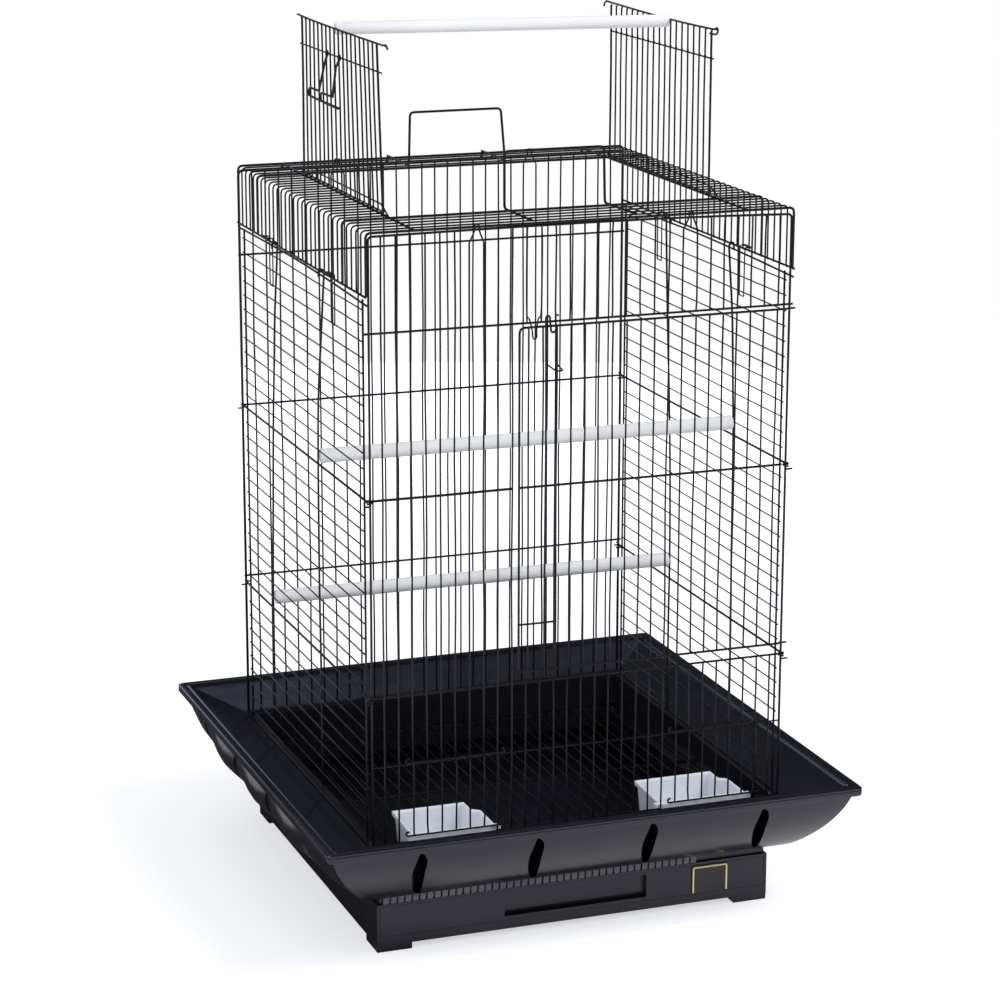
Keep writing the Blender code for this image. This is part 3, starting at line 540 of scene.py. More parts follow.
def side_panel(name, side):
    """The left panel for side -1, the right one for side 1."""
    wires = Wires()
    out = side * (HALF + 0.0003)
    post_x = side * (HALF - 0.0014)
    top = SHOULDER - 0.0035
    for end in (-1, 1):
        wires.path([(post_x, end * SIDE_POST, FOOT), (post_x, end * SIDE_POST, top)], 0.00115)
    reach = SIDE_POST + 0.0012
    heights = [BOTTOM, *(ROW_LOW + ROW_STEP * row for row in range(ROWS))]
    for row, z in enumerate(heights):
        if min(abs(z - LOW_RAIL), abs(z - MID_RAIL)) < 0.0045:
            continue
        bow = 0.00035 * math.sin(row * 2.1)
        wires.path([(out, -reach, z), (out, -0.1, z + bow), (out, 0.06, z - bow), (out, reach, z)], THIN, 6)
        for end in (-1, 1):
            wires.bead((side * (HALF - 0.0006), end * SIDE_POST, z), (0.0012, 0.0014, 0.0011))
    shoulder = [(-HALF - 0.0026, -0.0036), (-0.12, -0.0006), (0.0, 0.0012), (0.12, 0.0006),
                (RAIL_END, -0.0008)]
    wires.path(smooth([(side * HALF, y, top + rise) for y, rise in shoulder], 5), 0.0011)
    for z in (LOW_RAIL, MID_RAIL):
        wires.path([(out, -HALF - 0.0006, z), (out, HALF + 0.0006, z)], STRONG)
        for end in (-1, 1):
            wrap(wires, side, end, z)
    # narrow loops that hang from a clip over the shoulder rail, as (x, distance from their middle, z)
    inner_x = side * (HALF - 0.0026)
    clip_x = side * (HALF + 0.0030)
    clip_z = SHOULDER + 0.0042
    loop = [(inner_x, 0.0, 0.6405), (inner_x, 0.0056, 0.6405), (inner_x, 0.0060, 0.683),
            (inner_x, 0.0068, clip_z), (clip_x, 0.0095, clip_z), (clip_x, 0.0, clip_z + 0.0002)]
    for middle in (-0.1110, 0.1115):
        for leg in (-1, 1):
            wires.bent([(x, middle + leg * away, z) for x, away, z in loop], 0.00072, 0.0016, 6)
        wires.path([(clip_x, middle - 0.0098, clip_z - 0.0002), (clip_x, middle, clip_z + 0.0002),
                    (clip_x, middle + 0.0098, clip_z)], 0.0013, 6)
    wires.build(name + "_wires", "cage", [name])


# Roof: bent hoops, shoulder rails and the frame of the play opening
def roof_panel():
    """Whole hoops at the front and back, and half hoops on both sides of the opening."""
    wires = Wires()
    corner = 0.0055
    low = SHOULDER + 0.0012
    for k in range(SPACES + 1):
        y = bar_place(k)
        radius = HEAVY if k in (0, OPENING_BAR, SPACES - OPENING_BAR, SPACES) else 0.00095
        if OPENING_BAR < k < SPACES - OPENING_BAR:
            for side in (-1, 1):
                wires.bent([(side * HALF, y, low), (side * HALF, y, ROOF), (side * OPENING_X, y, ROOF)],
                           radius, corner, 8, 6)
                wires.bead((side * OPENING_X, y, ROOF + 0.0004), (0.0014, 0.0014, 0.0013))
        else:
            wires.bent([(-HALF, y, low), (-HALF, y, ROOF), (HALF, y, ROOF), (HALF, y, low)],
                       radius, corner, 8, 6)
        for side in (-1, 1):
            wires.bead((side * (HALF + 0.0004), y, low), (0.0013, 0.0014, 0.0014))
    for side in (-1, 1):
        for x, reach, z, radius in ((HALF + 0.0011, HALF + 0.0024, low, STRONG),
                                    (OPENING_X, HALF + 0.001, ROOF - 0.0002, FRAME)):
            wires.path([(side * x, -reach, z), (side * x, reach, z)], radius)
    wires.build("roof_wires", "cage", ["roof_panel"])


def carry_hoop(name, side, foot, head):
    """A carry hoop; foot and head are its left and right x at the roof and at the top."""
    wires = Wires()
    base, top = ROOF + 0.0028, 0.8138
    outer, inner = side * (HALF - 0.0005), side * OPENING_Y
    wires.bent([(-STRIP_X, outer, base), (foot[0], inner, base), (head[0], inner, top),
                (head[1], inner, top), (foot[1], inner, base), (STRIP_X, outer, base)],
               0.00135, 0.0050, 10, 6)
    wires.build(name + "_wire", "cage", [name])


# Play doors: heights, then their bent wires as (y, z); side -1 is the left door and 1 the right one
PLAY_LOW = 0.7555
PLAY_TOP = 0.922
PLAY_CROSS = 0.8945
PLAY_SILL = [(-0.1500, 0.7545), (-0.1330, 0.7610), (-0.1260, 0.7632), (0.093, 0.7632)]
PLAY_BOTTOM = [(-0.1325, 0.7600), (-0.1335, 0.7565), (-0.1285, PLAY_LOW), (0.1445, PLAY_LOW),
               (0.1495, 0.7565), (0.1490, 0.7600)]
PLAY_TOPS = {
    -1: [(-0.1475, 0.9195), (-0.1440, 0.9222), (-0.1390, 0.9230), (-0.1285, PLAY_TOP), (0.0, PLAY_TOP),
         (0.1000, 0.9226), (0.1614, 0.9239)],
    1: [(-0.1240, 0.9200), (-0.1360, 0.9202), (-0.1425, 0.9218), (-0.1443, 0.9256), (-0.1400, 0.9272),
        (-0.1285, 0.9250), (0.0, 0.9240), (0.1455, 0.9260), (0.1560, 0.9262), (0.1630, 0.9240),
        (0.1659, 0.9200)],
}


def play_door(name, body, side):
    """An upright play door; the left one's bars lean back more and more towards its front end."""
    wires = Wires()
    x = side * OPENING_X
    cross_x = x + side * 0.0012
    spaces = 18
    front, depth = -0.1285, 0.273
    for k in range(spaces + 1):
        share_back = k / spaces
        y = front + depth * share_back
        radius = FRAME if k in (0, spaces) else BAR
        top = PLAY_TOP if side < 0 else 0.9238 - 0.0022 * (share_back - 0.4) ** 2
        bow = 0.0012 * math.sin(k * 1.3)
        lean = 0.0155 * (1 - share_back) if side < 0 else 0.0
        route = []
        for share, swing in ((0.0, 0.0), (0.3, 0.5), (0.6, 1.0), (0.835, 0.4), (1.0, 0.0)):
            route.append((x, y + lean * share + bow * swing, PLAY_LOW + (top - PLAY_LOW) * share))
        wires.path(route, radius)
        for _, bar_y, bar_z in (route[0], route[3], route[4]):
            wires.bead((x + side * 0.0005, bar_y, bar_z), (0.0013, 0.0014, 0.0013))
    wires.path([(cross_x, -0.1318, PLAY_CROSS), (cross_x, 0.1480, PLAY_CROSS)], 0.0009)
    wires.path([(cross_x, y, z) for y, z in PLAY_SILL], 0.0009)
    wires.bent([(x, y, z) for y, z in PLAY_BOTTOM], 0.0010, 0.002)
    wires.path(smooth([(x, y, z) for y, z in PLAY_TOPS[side]], 3), 0.0011)
    wires.build(name + "_wires", body, [name])


def play_latch():
    """Two bent wires that hang from the left play door's cross wire."""
    wires = Wires()
    x = -OPENING_X - LAYER
    for top_y, foot_y, loop_y, out in ((0.0478, 0.0710, 0.1085, 0.0012), (0.0052, 0.0200, 0.0625, 0.0024)):
        ring = curl((x + 0.0002, top_y, PLAY_CROSS), 250, -330, 0.0028, "yz", 9)
        body = [(top_y + 0.0035, PLAY_CROSS - 0.010), (foot_y, 0.8560), (foot_y + 0.004, 0.8525),
                (loop_y - 0.006, 0.8520), (loop_y, 0.8500), (loop_y + 0.0008, 0.8462),
                (loop_y - 0.005, 0.8432), (0.0020, 0.8426)]
        wires.path([*ring, *smooth([(x - out, y, z) for y, z in body], 4)], 0.0013)
    wires.build("play_door_latch_wires", "play_latch", ["play_door_latch"])


# Perches, as half a profile of (distance from the end, radius), and the bent wires that hold them
PERCH_PROFILE = [(0.0, 0.0066), (0.0004, 0.0073), (0.0012, 0.0077), (0.0060, 0.0077), (0.0064, 0.0075),
                 (0.0070, 0.0075), (0.0074, 0.0077), (0.02, 0.0077), (0.12, 0.0077)]
PERCHES = {
    "upper_perch": ("cage", (-0.2236, -0.0515, 0.4895), (0.2236, -0.0985, 0.5003), 1.0),
    "lower_perch": ("cage", (-0.2236, 0.1268, 0.2868), (0.2236, 0.068, 0.3035), 1.0),
    "play_perch": ("top_perch", (-0.1765, 0.0310, PLAY_TOP), (0.1785, -0.0150, PLAY_TOP), 0.87),
}
PERCH_WIRES = {
    "left_upper_perch_wire": (-1, [(-0.0805, 0.688), (-0.0742, 0.656), (-0.0660, 0.612), (-0.0560, 0.560),
                                   (-0.0515, 0.4895), (-0.0500, 0.355), (-0.0520, 0.270), (-0.0535, 0.123)]),
    "right_upper_perch_wire": (1, [(-0.0776, 0.688), (-0.0823, 0.659), (-0.0900, 0.610), (-0.0955, 0.530),
                                   (-0.0985, 0.480), (-0.1000, 0.360), (-0.1020, 0.270), (-0.1030, 0.123)]),
    "left_lower_perch_wire": (-1, [(0.0885, 0.688), (0.0940, 0.655), (0.1022, 0.612), (0.1075, 0.560),
                                   (0.1152, 0.488), (0.1230, 0.365), (0.1268, 0.290), (0.1275, 0.123)]),
    "right_lower_perch_wire": (1, [(0.0924, 0.688), (0.0880, 0.620), (0.0820, 0.550), (0.0764, 0.489),
                                   (0.0705, 0.400), (0.0680, 0.3035), (0.0688, 0.230), (0.0680, 0.123)]),
}


def perches():
    """Round rods with the profile at both ends."""
    sides = 28
    for name, (body, start, end, thickness) in PERCHES.items():
        start, end = Vector(start), Vector(end)
        length = (end - start).length
        axis = (end - start).normalized()
        across = axis.cross(Vector((0, 0, 1))).normalized()
        up = across.cross(axis)
        rings = PERCH_PROFILE + [(length - distance, radius) for distance, radius in reversed(PERCH_PROFILE)]
        points = []
        for distance, radius in rings:
            points += circle(start + axis * distance, across, up, radius * thickness, sides)
        mould(name + "_rod", points, ring_faces(len(rings), sides), PERCH, 0.0, body, [name])


def perch_wires():
    """Long bent wires that hook over the shoulder rails, given as (y, z)."""
    for name, (side, points) in PERCH_WIRES.items():
        wires = Wires()
        x = side * 0.2257
        route = smooth([(x, y, z) for y, z in points], 6)
        y, z = points[0]
        hook = [(side * (HALF + 0.0028), y, z - 0.004), (side * (HALF + 0.0030), y, z + 0.0022),
                (side * (HALF - 0.0002), y, z + 0.0045), (x, y, z + 0.001)]
        wires.path([*rounded(hook, 0.002, 3), *route[1:]], STRONG)
        wires.build(name + "_bent", "cage", [name])


# Front door, its latch and the feeder doors
DOOR_STILE = -0.0688
DOOR_TOP = 0.6485
DOOR_BOTTOM = 0.290
DOOR_HINGE = 0.2228
DOOR_BARS = 19
DOOR_FIRST_BAR = -0.059
DOOR_PITCH = 0.0151


def front_door():
    """A bent wire loop with upright bars, hinged at its right end."""
    wires = Wires()
    y = -HALF
    inner = y + RAIL_SHIFT
    hinge_end = DOOR_HINGE + 0.0012
    loop = [(hinge_end, y, DOOR_TOP), (DOOR_STILE, y, DOOR_TOP), (DOOR_STILE, y, DOOR_BOTTOM),
            (hinge_end, y, DOOR_BOTTOM)]
    wires.bent(loop, FRAME, 0.006, 10, 5)
    for k in range(DOOR_BARS):
        x = DOOR_FIRST_BAR + DOOR_PITCH * k
        upright(wires, x, y, DOOR_BOTTOM, DOOR_TOP, k + 70)
        for z in (DOOR_BOTTOM, MID_RAIL, DOOR_TOP):
            wires.bead((x, y + 0.0006, z), WELD)
    rail(wires, DOOR_STILE, DOOR_HINGE, inner, MID_RAIL, 0.0013)
    # a short bar from the stile to behind the latch
    rail(wires, -0.0680, -0.0285, inner, 0.340, 0.0011)
    wires.build("front_door_wires", "front_door", ["front_door"])


def front_latch():
    """A long narrow wire loop with hooks at its top, a thumb loop and an eye at its foot."""
    wires = Wires()
    y = -HALF - LAYER
    left, right = -0.0418, -0.0312
    hook_z = 0.6595
    foot_z = 0.2860
    left_rod = smooth([(left, y, foot_z), (left, y, 0.40), (left + 0.0006, y, 0.52),
                       (left + 0.0002, y, 0.64)], 5)
    left_hook = curl((left + 0.0022, y, hook_z - 0.0022), 180, -200, 0.0022, "xz", 6)
    left_end = [(left + 0.0052, y - 0.0008, 0.6440),
                *curl((left + 0.0076, y - 0.0008, 0.6452), 200, 150, 0.0026, "xz", 5)]
    wires.path([*left_rod, *left_hook, *left_end], 0.00115)
    right_hook = curl((right + 0.0012, y, hook_z - 0.0012), 200, -180, 0.0016, "xz", 5)
    wires.path([*reversed(right_hook), (right, y, 0.650), (right, y, 0.52), (right - 0.0004, y, 0.40),
                (right, y, foot_z)], 0.00100)
    thumb = [(left + 0.0010, y - 0.0006, 0.6105), (right - 0.0004, y - 0.0022, 0.6032),
             (right + 0.0075, y - 0.0016, 0.6030), (right + 0.0016, y - 0.0006, 0.6095),
             (right + 0.0006, y, 0.6040)]
    wires.bent(thumb, 0.0009, 0.0018)
    wires.bent([(left, y, 0.2872), (left, y, 0.2835), (right, y, 0.2835), (right, y, 0.2872)],
               0.00110, 0.0015)
    wires.path(curl(((left + right) / 2, y - 0.0010, 0.2885), 200, 320, 0.0042, "xz", 9), 0.00085)
    wires.build("front_door_latch_wires", "front_latch", ["front_door_latch"])


def feeder_door(name, body, first):
    """A small sliding door whose bars stand just outside the panel's, after bar number first."""
    wires = Wires()
    y = -HALF - LAYER
    inner = y - 0.0008
    bars = [bar_place(first + 1 + k) for k in range(FEEDER_SPACES)]
    low, top = 0.1287, 0.2070
    for index, x in enumerate(bars):
        upright(wires, x, y + 0.0004, low, top, index + 90)
        for z in (top, low):
            wires.bead((x, inner + 0.0006, z), WELD)
    for z in (low, top):
        start = curl((bars[0] - 0.0065, inner, z + 0.0022), 60, 210, 0.0022, "xz", 7)
        end = curl((bars[-1] + 0.0040, inner, z + 0.0022), -90, 215, 0.0022, "xz", 7)
        wires.path([*start, *end], 0.00105)
    wires.build(name + "_wires", body, [name])


def grille():
    """The level grille over the tray: close bars on three cross wires."""
    wires = Wires()
    half = 0.2198
    z = 0.0844
    for k in range(SPACES + 1):
        x = -half + 2 * half * k / SPACES
        wires.path([(x, -half, z), (x, half, z)], 0.0009, 6)
    for y in (-half, 0.0, half):
        wires.path([(-half, y, z - 0.0004), (half, y, z - 0.0004)], 0.0010, 6)
    wires.build("bottom_grille_wires", "cage", ["bottom_grille"])


# The moulded skirt: sections as (half side, height)
SKIRT_RIM = [(0.2815, 0.1392), (0.2832, 0.1425), (0.2842, 0.1432), (0.2856, 0.1431), (0.2864, 0.1422),
             (0.2876, 0.1420), (0.2890, 0.1428), (0.2904, 0.1433), (0.2940, 0.1430), (0.2950, 0.1420),
             (0.2950, 0.1408), (0.2943, 0.1404), (0.2943, 0.1398), (0.2950, 0.1394), (0.2950, 0.1352),
             (0.2942, 0.1338), (0.2888, 0.1336)]
SKIRT_PIT = [(0.2840, 0.1340), (0.2800, 0.1352), (0.2360, 0.1170), (0.2330, 0.1160), (0.2330, 0.0672),
             (0.2160, 0.0672), (0.2160, 0.0663), (0.2060, 0.0663), (0.2060, 0.0830), (0.2220, 0.0830),
             (0.2220, 0.1193), (0.2227, 0.1200), (0.2358, 0.1200), (0.2368, 0.1203)]
SKIRT_CATCH = [(0.2368, 0.1203), (0.2500, 0.1262), (0.2660, 0.1326), (0.2815, 0.1392)]
FLARE_OUTSIDE = [(0.2886, 0.1337), (0.2825, 0.1185), (0.2750, 0.1050), (0.2680, 0.0950), (0.2600, 0.0855),
                 (0.2500, 0.0755), (0.2415, 0.0688)]
FLARE_LIP = [(0.2400, 0.0678), (0.2290, 0.0665), (0.2290, 0.0688)]
FLARE_INSIDE = [(0.2400, 0.0708), (0.2480, 0.0772), (0.2580, 0.0872), (0.2660, 0.0967), (0.2728, 0.1066),
                (0.2800, 0.1195), (0.2858, 0.1337)]

# How the flare's sides swell between these heights: most in the middle, with a share for each side in turn
FLARE_TOP = 0.134
FLARE_FOOT = 0.066
FLARE_BOW = 0.0155
FLARE_SWELL = (0.8, 1.0, 0.2, 0.25)
FLARE_PARTS = 26

# The outline of a leaf slot in millimetres as drawn upright, with the height of its foot
LEAF = [(-3.8, 131.4), (1.3, 126.4), (4.3, 119.8), (5.6, 112.3), (5.9, 102.5), (6.9, 92.5), (7.7, 82.5),
        (8.2, 72.4), (7.7, 65.5), (4.2, 65.2), (0.5, 69.4), (-2.7, 77.0), (-5.6, 87.4), (-7.5, 97.6),
        (-7.9, 106.3), (-7.1, 114.6), (-6.7, 123.0), (-6.5, 129.5)]
LEAF_FOOT = 0.0652

# A leaf's foot and scale on the flare, and the plane of the front flare: y at a height, and slope
FLARE_LEAF_FOOT = 0.0705
FLARE_LEAF_SCALE = 0.906
FLARE_PLANE_Y = -0.2415
FLARE_PLANE_Z = 0.0685
FLARE_SLOPE = 0.723

# The distance between slots and the direction they are cut along
LEAF_PITCH = 0.126
SIGHT = Vector((-0.334, -0.907, 0.254))


def square_loop(half, z, radius, bow, parts):
    """A square with rounded corners, as points round the z axis; its sides can swell into lobes."""
    steps = 5
    straight = half - radius
    points = []
    for corner in range(4):
        turn = Matrix.Rotation(math.radians(90 * corner), 3, "Z")
        for step in range(steps + 1):
            angle = math.radians(90) * step / steps
            x, y = straight + radius * math.cos(angle), straight + radius * math.sin(angle)
            points.append(turn @ Vector((x, y, z)))
        for part in range(1, parts):
            along = 1 - 2 * part / parts
            lobe = 0.65 + 0.35 * math.cos(math.pi * straight * along / LEAF_PITCH) ** 2
            swell = bow * FLARE_SWELL[corner] * lobe * (1 - along ** 4)
            points.append(turn @ Vector((straight * along, half + swell, z)))
    return points


def flare_bow(z):
    """How far the middle of a flare side stands outside the line between its corners."""
    share = (FLARE_TOP - z) / (FLARE_TOP - FLARE_FOOT)
    return FLARE_BOW * math.sin(math.pi * min(max(share, 0.0), 1.0))


def smooth_section(points, steps):
    """A section with a smooth curve through its points."""
    return [(p.x, p.z) for p in smooth([(x, 0.0, z) for x, z in points], steps)]


def leaf_outline(centre):
    """The rounded leaf as points on the slanted plane of the front flare."""
    points = []
    for (x0, z0), (x1, z1) in zip(LEAF, LEAF[1:] + LEAF[:1]):
        for share in (0.25, 0.75):
            x = centre + (x0 + (x1 - x0) * share) / 1000
            drawn_z = (z0 + (z1 - z0) * share) / 1000
            z = FLARE_LEAF_FOOT + (drawn_z - LEAF_FOOT) * FLARE_LEAF_SCALE
            points.append(Vector((x, FLARE_PLANE_Y - (z - FLARE_PLANE_Z) * FLARE_SLOPE, z)))
    return points


def swept(name, profile, bowed, nodes):
    """A square ring with the given closed section; a bowed one has swelling sides."""
    points = []
    for half, z in profile:
        bow = flare_bow(z) if bowed else 0.0
        loop = square_loop(half, z, 0.0045 if half > 0.24 else 0.006, bow, FLARE_PARTS if bowed else 1)
        points += loop
    faces = ring_faces(len(profile), len(loop), endless=True)
    return mould(name, points, faces, PLASTIC, 0.0, "cage", nodes)


def leaf_tool():
    """Four leaf shaped prisms for each side of the flare."""
    cutter = bmesh.new()
    for side in range(4):
        turn = Matrix.Rotation(math.radians(90) * side, 4, "Z")
        for index in range(4):
            outline = leaf_outline((index - 1.5) * LEAF_PITCH)
            corners = [cutter.verts.new(turn @ (point + SIGHT * depth))
                       for depth in (0.045, -0.010) for point in outline]
            *walls, first, last = ring_faces(2, len(outline))
            # the end faces are turned round, because the cut's triangles follow the order of their corners
            for face in (*walls, first[::-1], last[::-1]):
                cutter.faces.new([corners[i] for i in face])
    bmesh.ops.recalc_face_normals(cutter, faces=cutter.faces)
    mesh = bpy.data.meshes.new("leaf_tool")
    cutter.to_mesh(mesh)
    cutter.free()
    return add_object("leaf_tool", mesh)


def seed_skirt():
    """The rim with its catch and pit, and the flare below it with its leaf slots cut out."""
    catch = smooth_section(SKIRT_CATCH, 2)[1:-1]
    swept("seed_skirt_moulding", SKIRT_RIM + SKIRT_PIT + catch, False, ["seed_skirt"])
    flare = smooth_section(FLARE_OUTSIDE, 3) + FLARE_LIP + smooth_section(FLARE_INSIDE, 3)
    piece = swept("seed_skirt_flare", flare, True, [])
    tool = leaf_tool()
    cut = piece.modifiers.new("leaves", "BOOLEAN")
    cut.object = tool
    cut.solver = "EXACT"
    bpy.context.view_layer.update()
    graph = bpy.context.evaluated_depsgraph_get()
    finished = bpy.data.meshes.new_from_object(piece.evaluated_get(graph))
    piece.modifiers.clear()
    piece.data = finished
    shade(finished, 28)
    bpy.data.objects.remove(tool)


def ribs():
    """The ribbed shoulder between the base and the skirt, with slightly leaning blocks."""
    width, depth, lean = 0.0062, 0.0022, 0.0022
    count, pitch = 44, 0.008
    points, faces = [], []
    for side in range(4):
        turn = Matrix.Rotation(math.radians(90) * side, 3, "Z")
        for k in range(count):
            x = -0.2130 + pitch * k
            faces += ring_faces(2, 4, len(points))
            for y, z, shift in ((-0.2200, 0.0523, 0.0), (-0.2168, 0.0655, lean)):
                for dx, dy in ((0.0, 0.0), (width, 0.0), (width, depth), (0.0, depth)):
                    points.append(turn @ Vector((x + dx + shift, y + dy, z)))
    # the ribs' lighter colour is a painted highlight
    mould("shoulder_ribs", points, faces, RIB_PAINTED_HIGHLIGHT, 0.0004, "cage", [])


def dress(name, finish):
    """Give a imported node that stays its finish."""
    node = frame["nodes"][name]
    node.data.materials.clear()
    node.data.materials.append(finish)
    return node


def label():
    """A bare plate with a pale border that is open at the bottom."""
    low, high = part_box("label_plate")
    dress("label_plate", PLATE)
    margin = 0.0018
    y = low.y + 0.0001
    left, right, bottom, top = low.x + margin, high.x - margin, low.z + 0.0008, high.z - margin
    border = Wires()
    border.bent([(left, y, bottom), (left, y, top), (right, y, top), (right, y, bottom)], 0.0010, 0.0015)
    border.build("label_border", "tray", [], PLATE_EDGE)


def inset(outline, distance, z):
    """An outline moved inwards by a distance, at a height."""
    loop = []
    count = len(outline)
    for i in range(count):
        before, here, after = (Vector((*outline[j % count], 0.0)) for j in (i - 1, i, i + 1))
        ways = ((here - before).normalized(), (after - here).normalized())
        inward = [Vector((-way.y, way.x, 0)) for way in ways]
        bisector = inward[0] + inward[1]
        bisector /= max(bisector.dot(inward[0]), 0.3)
        loop.append(here + bisector * distance + Vector((0, 0, z)))
    return loop


def cup(name, body, lip_left, lip_right):
    """A feed cup with a rolled rim, narrower at the back right, and with a wider front lip."""
    low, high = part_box(name)
    floor, top = low.z, high.z
    overhang = 0.0051
    front, back = -0.2222, high.y
    left, right = lip_left + overhang, lip_right - overhang
    step_y = front + 0.044
    narrow = right - 0.0085
    outline = [(left, front), (right, front), (right, step_y), (narrow, step_y + 0.006), (narrow, back),
               (left + 0.003, back)]
    # from the bottom up the outside, over the rim and down the inside, as (distance inwards, height)
    section = [(0.0060, floor), (0.0044, floor + 0.004), (0.0024, top - 0.0060), (0.0022, top - 0.0058),
               (0.0, top - 0.0052), (-0.0004, top - 0.0008), (0.0006, top), (0.0020, top - 0.0002),
               (0.0034, top - 0.0020), (0.0050, floor + 0.006), (0.0090, floor + 0.0022)]
    points = []
    for distance, z in section:
        points += inset(outline, distance, z)
    faces = ring_faces(len(section), len(outline))
    mould(name + "_moulding", points, faces, CUP, 0.0010, body, [name])
    y0, y1 = low.y + 0.0001, -0.2200
    corners = ((lip_left, y0), (lip_right, y0), (lip_right, y1), (lip_left, y1))
    box = [(x, y, z) for z in (top - 0.0058, top - 0.0002) for x, y in corners]
    quads = [(0, 1, 2, 3), (4, 5, 6, 7), (0, 1, 5, 4), (1, 2, 6, 5), (2, 3, 7, 6), (3, 0, 4, 7)]
    mould(name + "_lip", box, quads, CUP, 0.0009, body, [])


front_panel()
back_panel()
side_panel("left_panel", -1)
side_panel("right_panel", 1)
roof_panel()
carry_hoop("front_carry_hoop", -1, (-0.0570, 0.0520), (-0.0572, 0.0505))
carry_hoop("back_carry_hoop", 1, (-0.0560, 0.0560), (-0.0545, 0.0510))
play_door("left_play_door", "left_play", -1)
play_door("right_play_door", "right_play", 1)
play_latch()
perches()
perch_wires()
front_door()
front_latch()
feeder_door("left_feeder_door", "left_feeder", FEEDER_BARS[0])
feeder_door("right_feeder_door", "right_feeder", FEEDER_BARS[1])
grille()
seed_skirt()
ribs()
label()
cup("left_cup", "left_seed_cup", -0.1880, -0.0868)
cup("right_cup", "right_seed_cup", 0.0866, 0.1966)
for name in ("base_stand", "pull_out_tray"):
    soften(dress(name, SATIN), 0.0006, 40)


# Floor, world, lamps and camera
def mask(nodes, links, split, limits, strength):
    """A soft edged patch; each limit is (axis, where it is nothing, where it is full)."""
    patch = None
    for axis, nothing, full in limits:
        most = 1.0 if patch else strength
        share = map_range(nodes, links, split.outputs[axis], (nothing, full), (0.0, most), True)
        patch = combine(nodes, links, "MULTIPLY", patch, share) if patch else share
    return patch


def stage():
    """A round pale floor that fades into the white background and keeps the shadow."""
    shape = bmesh.new()
    bmesh.ops.create_circle(shape, cap_ends=True, segments=96, radius=2.6)
    mesh = bpy.data.meshes.new("floor")
    shape.to_mesh(mesh)
    shape.free()
    floor = add_object("floor", mesh)
    made, nodes, links, shader = material("floor_white")
    put(shader, {"Base Color": (0.93, 0.935, 0.94, 1.0), "Roughness": 0.85, "Specular IOR Level": 0.1})
    place = nodes.new("ShaderNodeTexCoord")
    length = nodes.new("ShaderNodeVectorMath")
    length.operation = "LENGTH"
    links.new(place.outputs["Object"], length.inputs[0])
    fade = map_range(nodes, links, length.outputs["Value"], (0.75, 2.2), (0.42, 1.0), True)
    glow = nodes.new("ShaderNodeEmission")
    put(glow, {"Color": (0.985, 0.99, 1.04, 1.0), "Strength": 1.4})
    mirrored = nodes.new("ShaderNodeLightPath").outputs["Is Glossy Ray"]
    # the glow has a smaller share in reflections
    dim = nodes.new("ShaderNodeMath")
    dim.operation = "MULTIPLY_ADD"
    dim.inputs[1].default_value = -0.30
    links.new(mirrored, dim.inputs[0])
    links.new(fade, dim.inputs[2])
    lit = mix_shaders(nodes, links, dim.outputs["Value"], shader.outputs["BSDF"], glow.outputs["Emission"])
    # painted shade: in reflections only, a near-black patch is painted on the floor beside the skirt's left
    # side
    split = nodes.new("ShaderNodeSeparateXYZ")
    links.new(place.outputs["Object"], split.inputs["Vector"])
    patch = mask(nodes, links, split, (("X", -0.10, -0.18), ("X", -0.49, -0.43), ("Y", -0.30, -0.18)), 0.95)
    share = combine(nodes, links, "MULTIPLY", mirrored, patch)
    # the near-black colour of the painted shade patch
    dark = nodes.new("ShaderNodeBsdfDiffuse")
    put(dark, {"Color": (0.01, 0.01, 0.012, 1.0)})
    whole = mix_shaders(nodes, links, share, lit, dark.outputs["BSDF"])
    links.new(whole, nodes["Material Output"].inputs["Surface"])
    mesh.materials.append(made)


def background(nodes, colour, strength):
    """A plain background of the world."""
    made = nodes.new("ShaderNodeBackground")
    put(made, {"Color": colour, "Strength": strength})
    return made


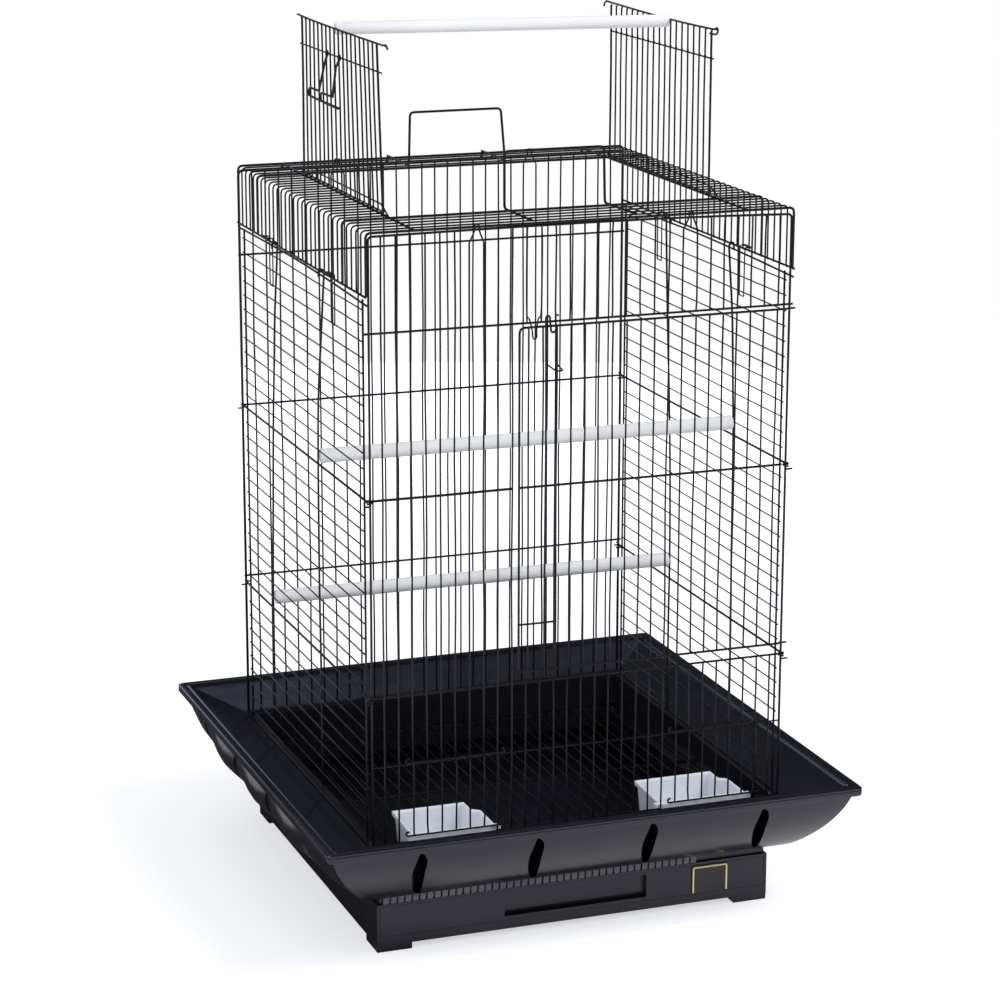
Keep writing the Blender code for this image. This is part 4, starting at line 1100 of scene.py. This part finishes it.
def world():
    """White where the camera sees it, a pale dome as light, and a darker studio in reflections."""
    made = bpy.data.worlds.new("studio")
    bpy.context.scene.world = made
    made.use_nodes = True
    nodes, links = made.node_tree.nodes, made.node_tree.links
    nodes.clear()
    place = nodes.new("ShaderNodeTexCoord")
    split = nodes.new("ShaderNodeSeparateXYZ")
    links.new(place.outputs["Generated"], split.inputs["Vector"])
    total = map_range(nodes, links, split.outputs["Z"], (0.45, 0.95), (0.05, 0.11), True)
    # the pale backdrop low behind the cage, and a softbox above and behind it
    backdrop = (("Y", 0.78, 0.90), ("X", 0.27, 0.14), ("Z", 0.02, 0.08), ("Z", 0.36, 0.25))
    softbox = (("X", 0.262, 0.238), ("Z", 0.82, 0.87), ("Y", 0.30, 0.38))
    for limits, strength in ((backdrop, 1.3), (softbox, 4.5)):
        total = combine(nodes, links, "ADD", total, mask(nodes, links, split, limits, strength))
    studio = background(nodes, (0.72, 0.80, 1.0, 1.0), 1.0)
    links.new(total, studio.inputs["Strength"])
    dome = background(nodes, (0.96, 0.98, 1.0, 1.0), 0.72)
    white = background(nodes, (1.0, 1.0, 1.0, 1.0), 1.0)
    rays = nodes.new("ShaderNodeLightPath")
    unseen = mix_shaders(nodes, links, rays.outputs["Is Glossy Ray"], dome.outputs["Background"],
                         studio.outputs["Background"])
    whole = mix_shaders(nodes, links, rays.outputs["Is Camera Ray"], unseen, white.outputs["Background"])
    out = nodes.new("ShaderNodeOutputWorld")
    links.new(whole, out.inputs["Surface"])


def lamp(name, place, target, size, power, colour=(1, 1, 1), mirrored=True):
    """A soft area lamp that points at a target."""
    data = bpy.data.lights.new(name, "AREA")
    data.shape = "RECTANGLE"
    data.size, data.size_y = size
    data.energy = power
    data.color = colour
    made = add_object(name, data)
    made.location = place
    made.rotation_euler = (Vector(target) - Vector(place)).to_track_quat("-Z", "Y").to_euler()
    made.visible_glossy = mirrored


def camera():
    """The photo's view: its place and its angles in degrees were fitted to measured points."""
    data = bpy.data.cameras.new("photo_view")
    data.sensor_width = 36.0
    data.lens = 113.236
    data.clip_start = 0.1
    data.clip_end = 50
    azimuth, elevation, roll = (math.radians(a) for a in (-20.208, 14.738, 0.103))
    back = Vector((math.sin(azimuth) * math.cos(elevation), -math.cos(azimuth) * math.cos(elevation),
                   math.sin(elevation)))
    right = Vector((0, 0, 1)).cross(back).normalized()
    up = back.cross(right)
    across = right * math.cos(roll) + up * math.sin(roll)
    above = up * math.cos(roll) - right * math.sin(roll)
    turn = Matrix((across, above, back)).transposed()
    made = add_object("photo_view", data)
    made.matrix_world = Matrix.Translation((-1.1452, -3.0974, 1.2781)) @ turn.to_4x4()
    bpy.context.scene.camera = made


stage()
world()
lamp("key", (1.6, -1.3, 2.6), (0.0, 0.0, 0.2), (1.2, 1.2), 60, mirrored=False)
lamp("fill", (-1.6, -2.6, 2.0), (0.0, 0.0, 0.3), (1.4, 0.5), 14, (0.95, 0.97, 1.0))
lamp("side", (-2.6, -0.7, 1.1), (0.0, 0.0, 0.5), (0.5, 1.6), 12, (0.92, 0.95, 1.0))
camera()
bpy.context.scene.view_settings.view_transform = "Standard"
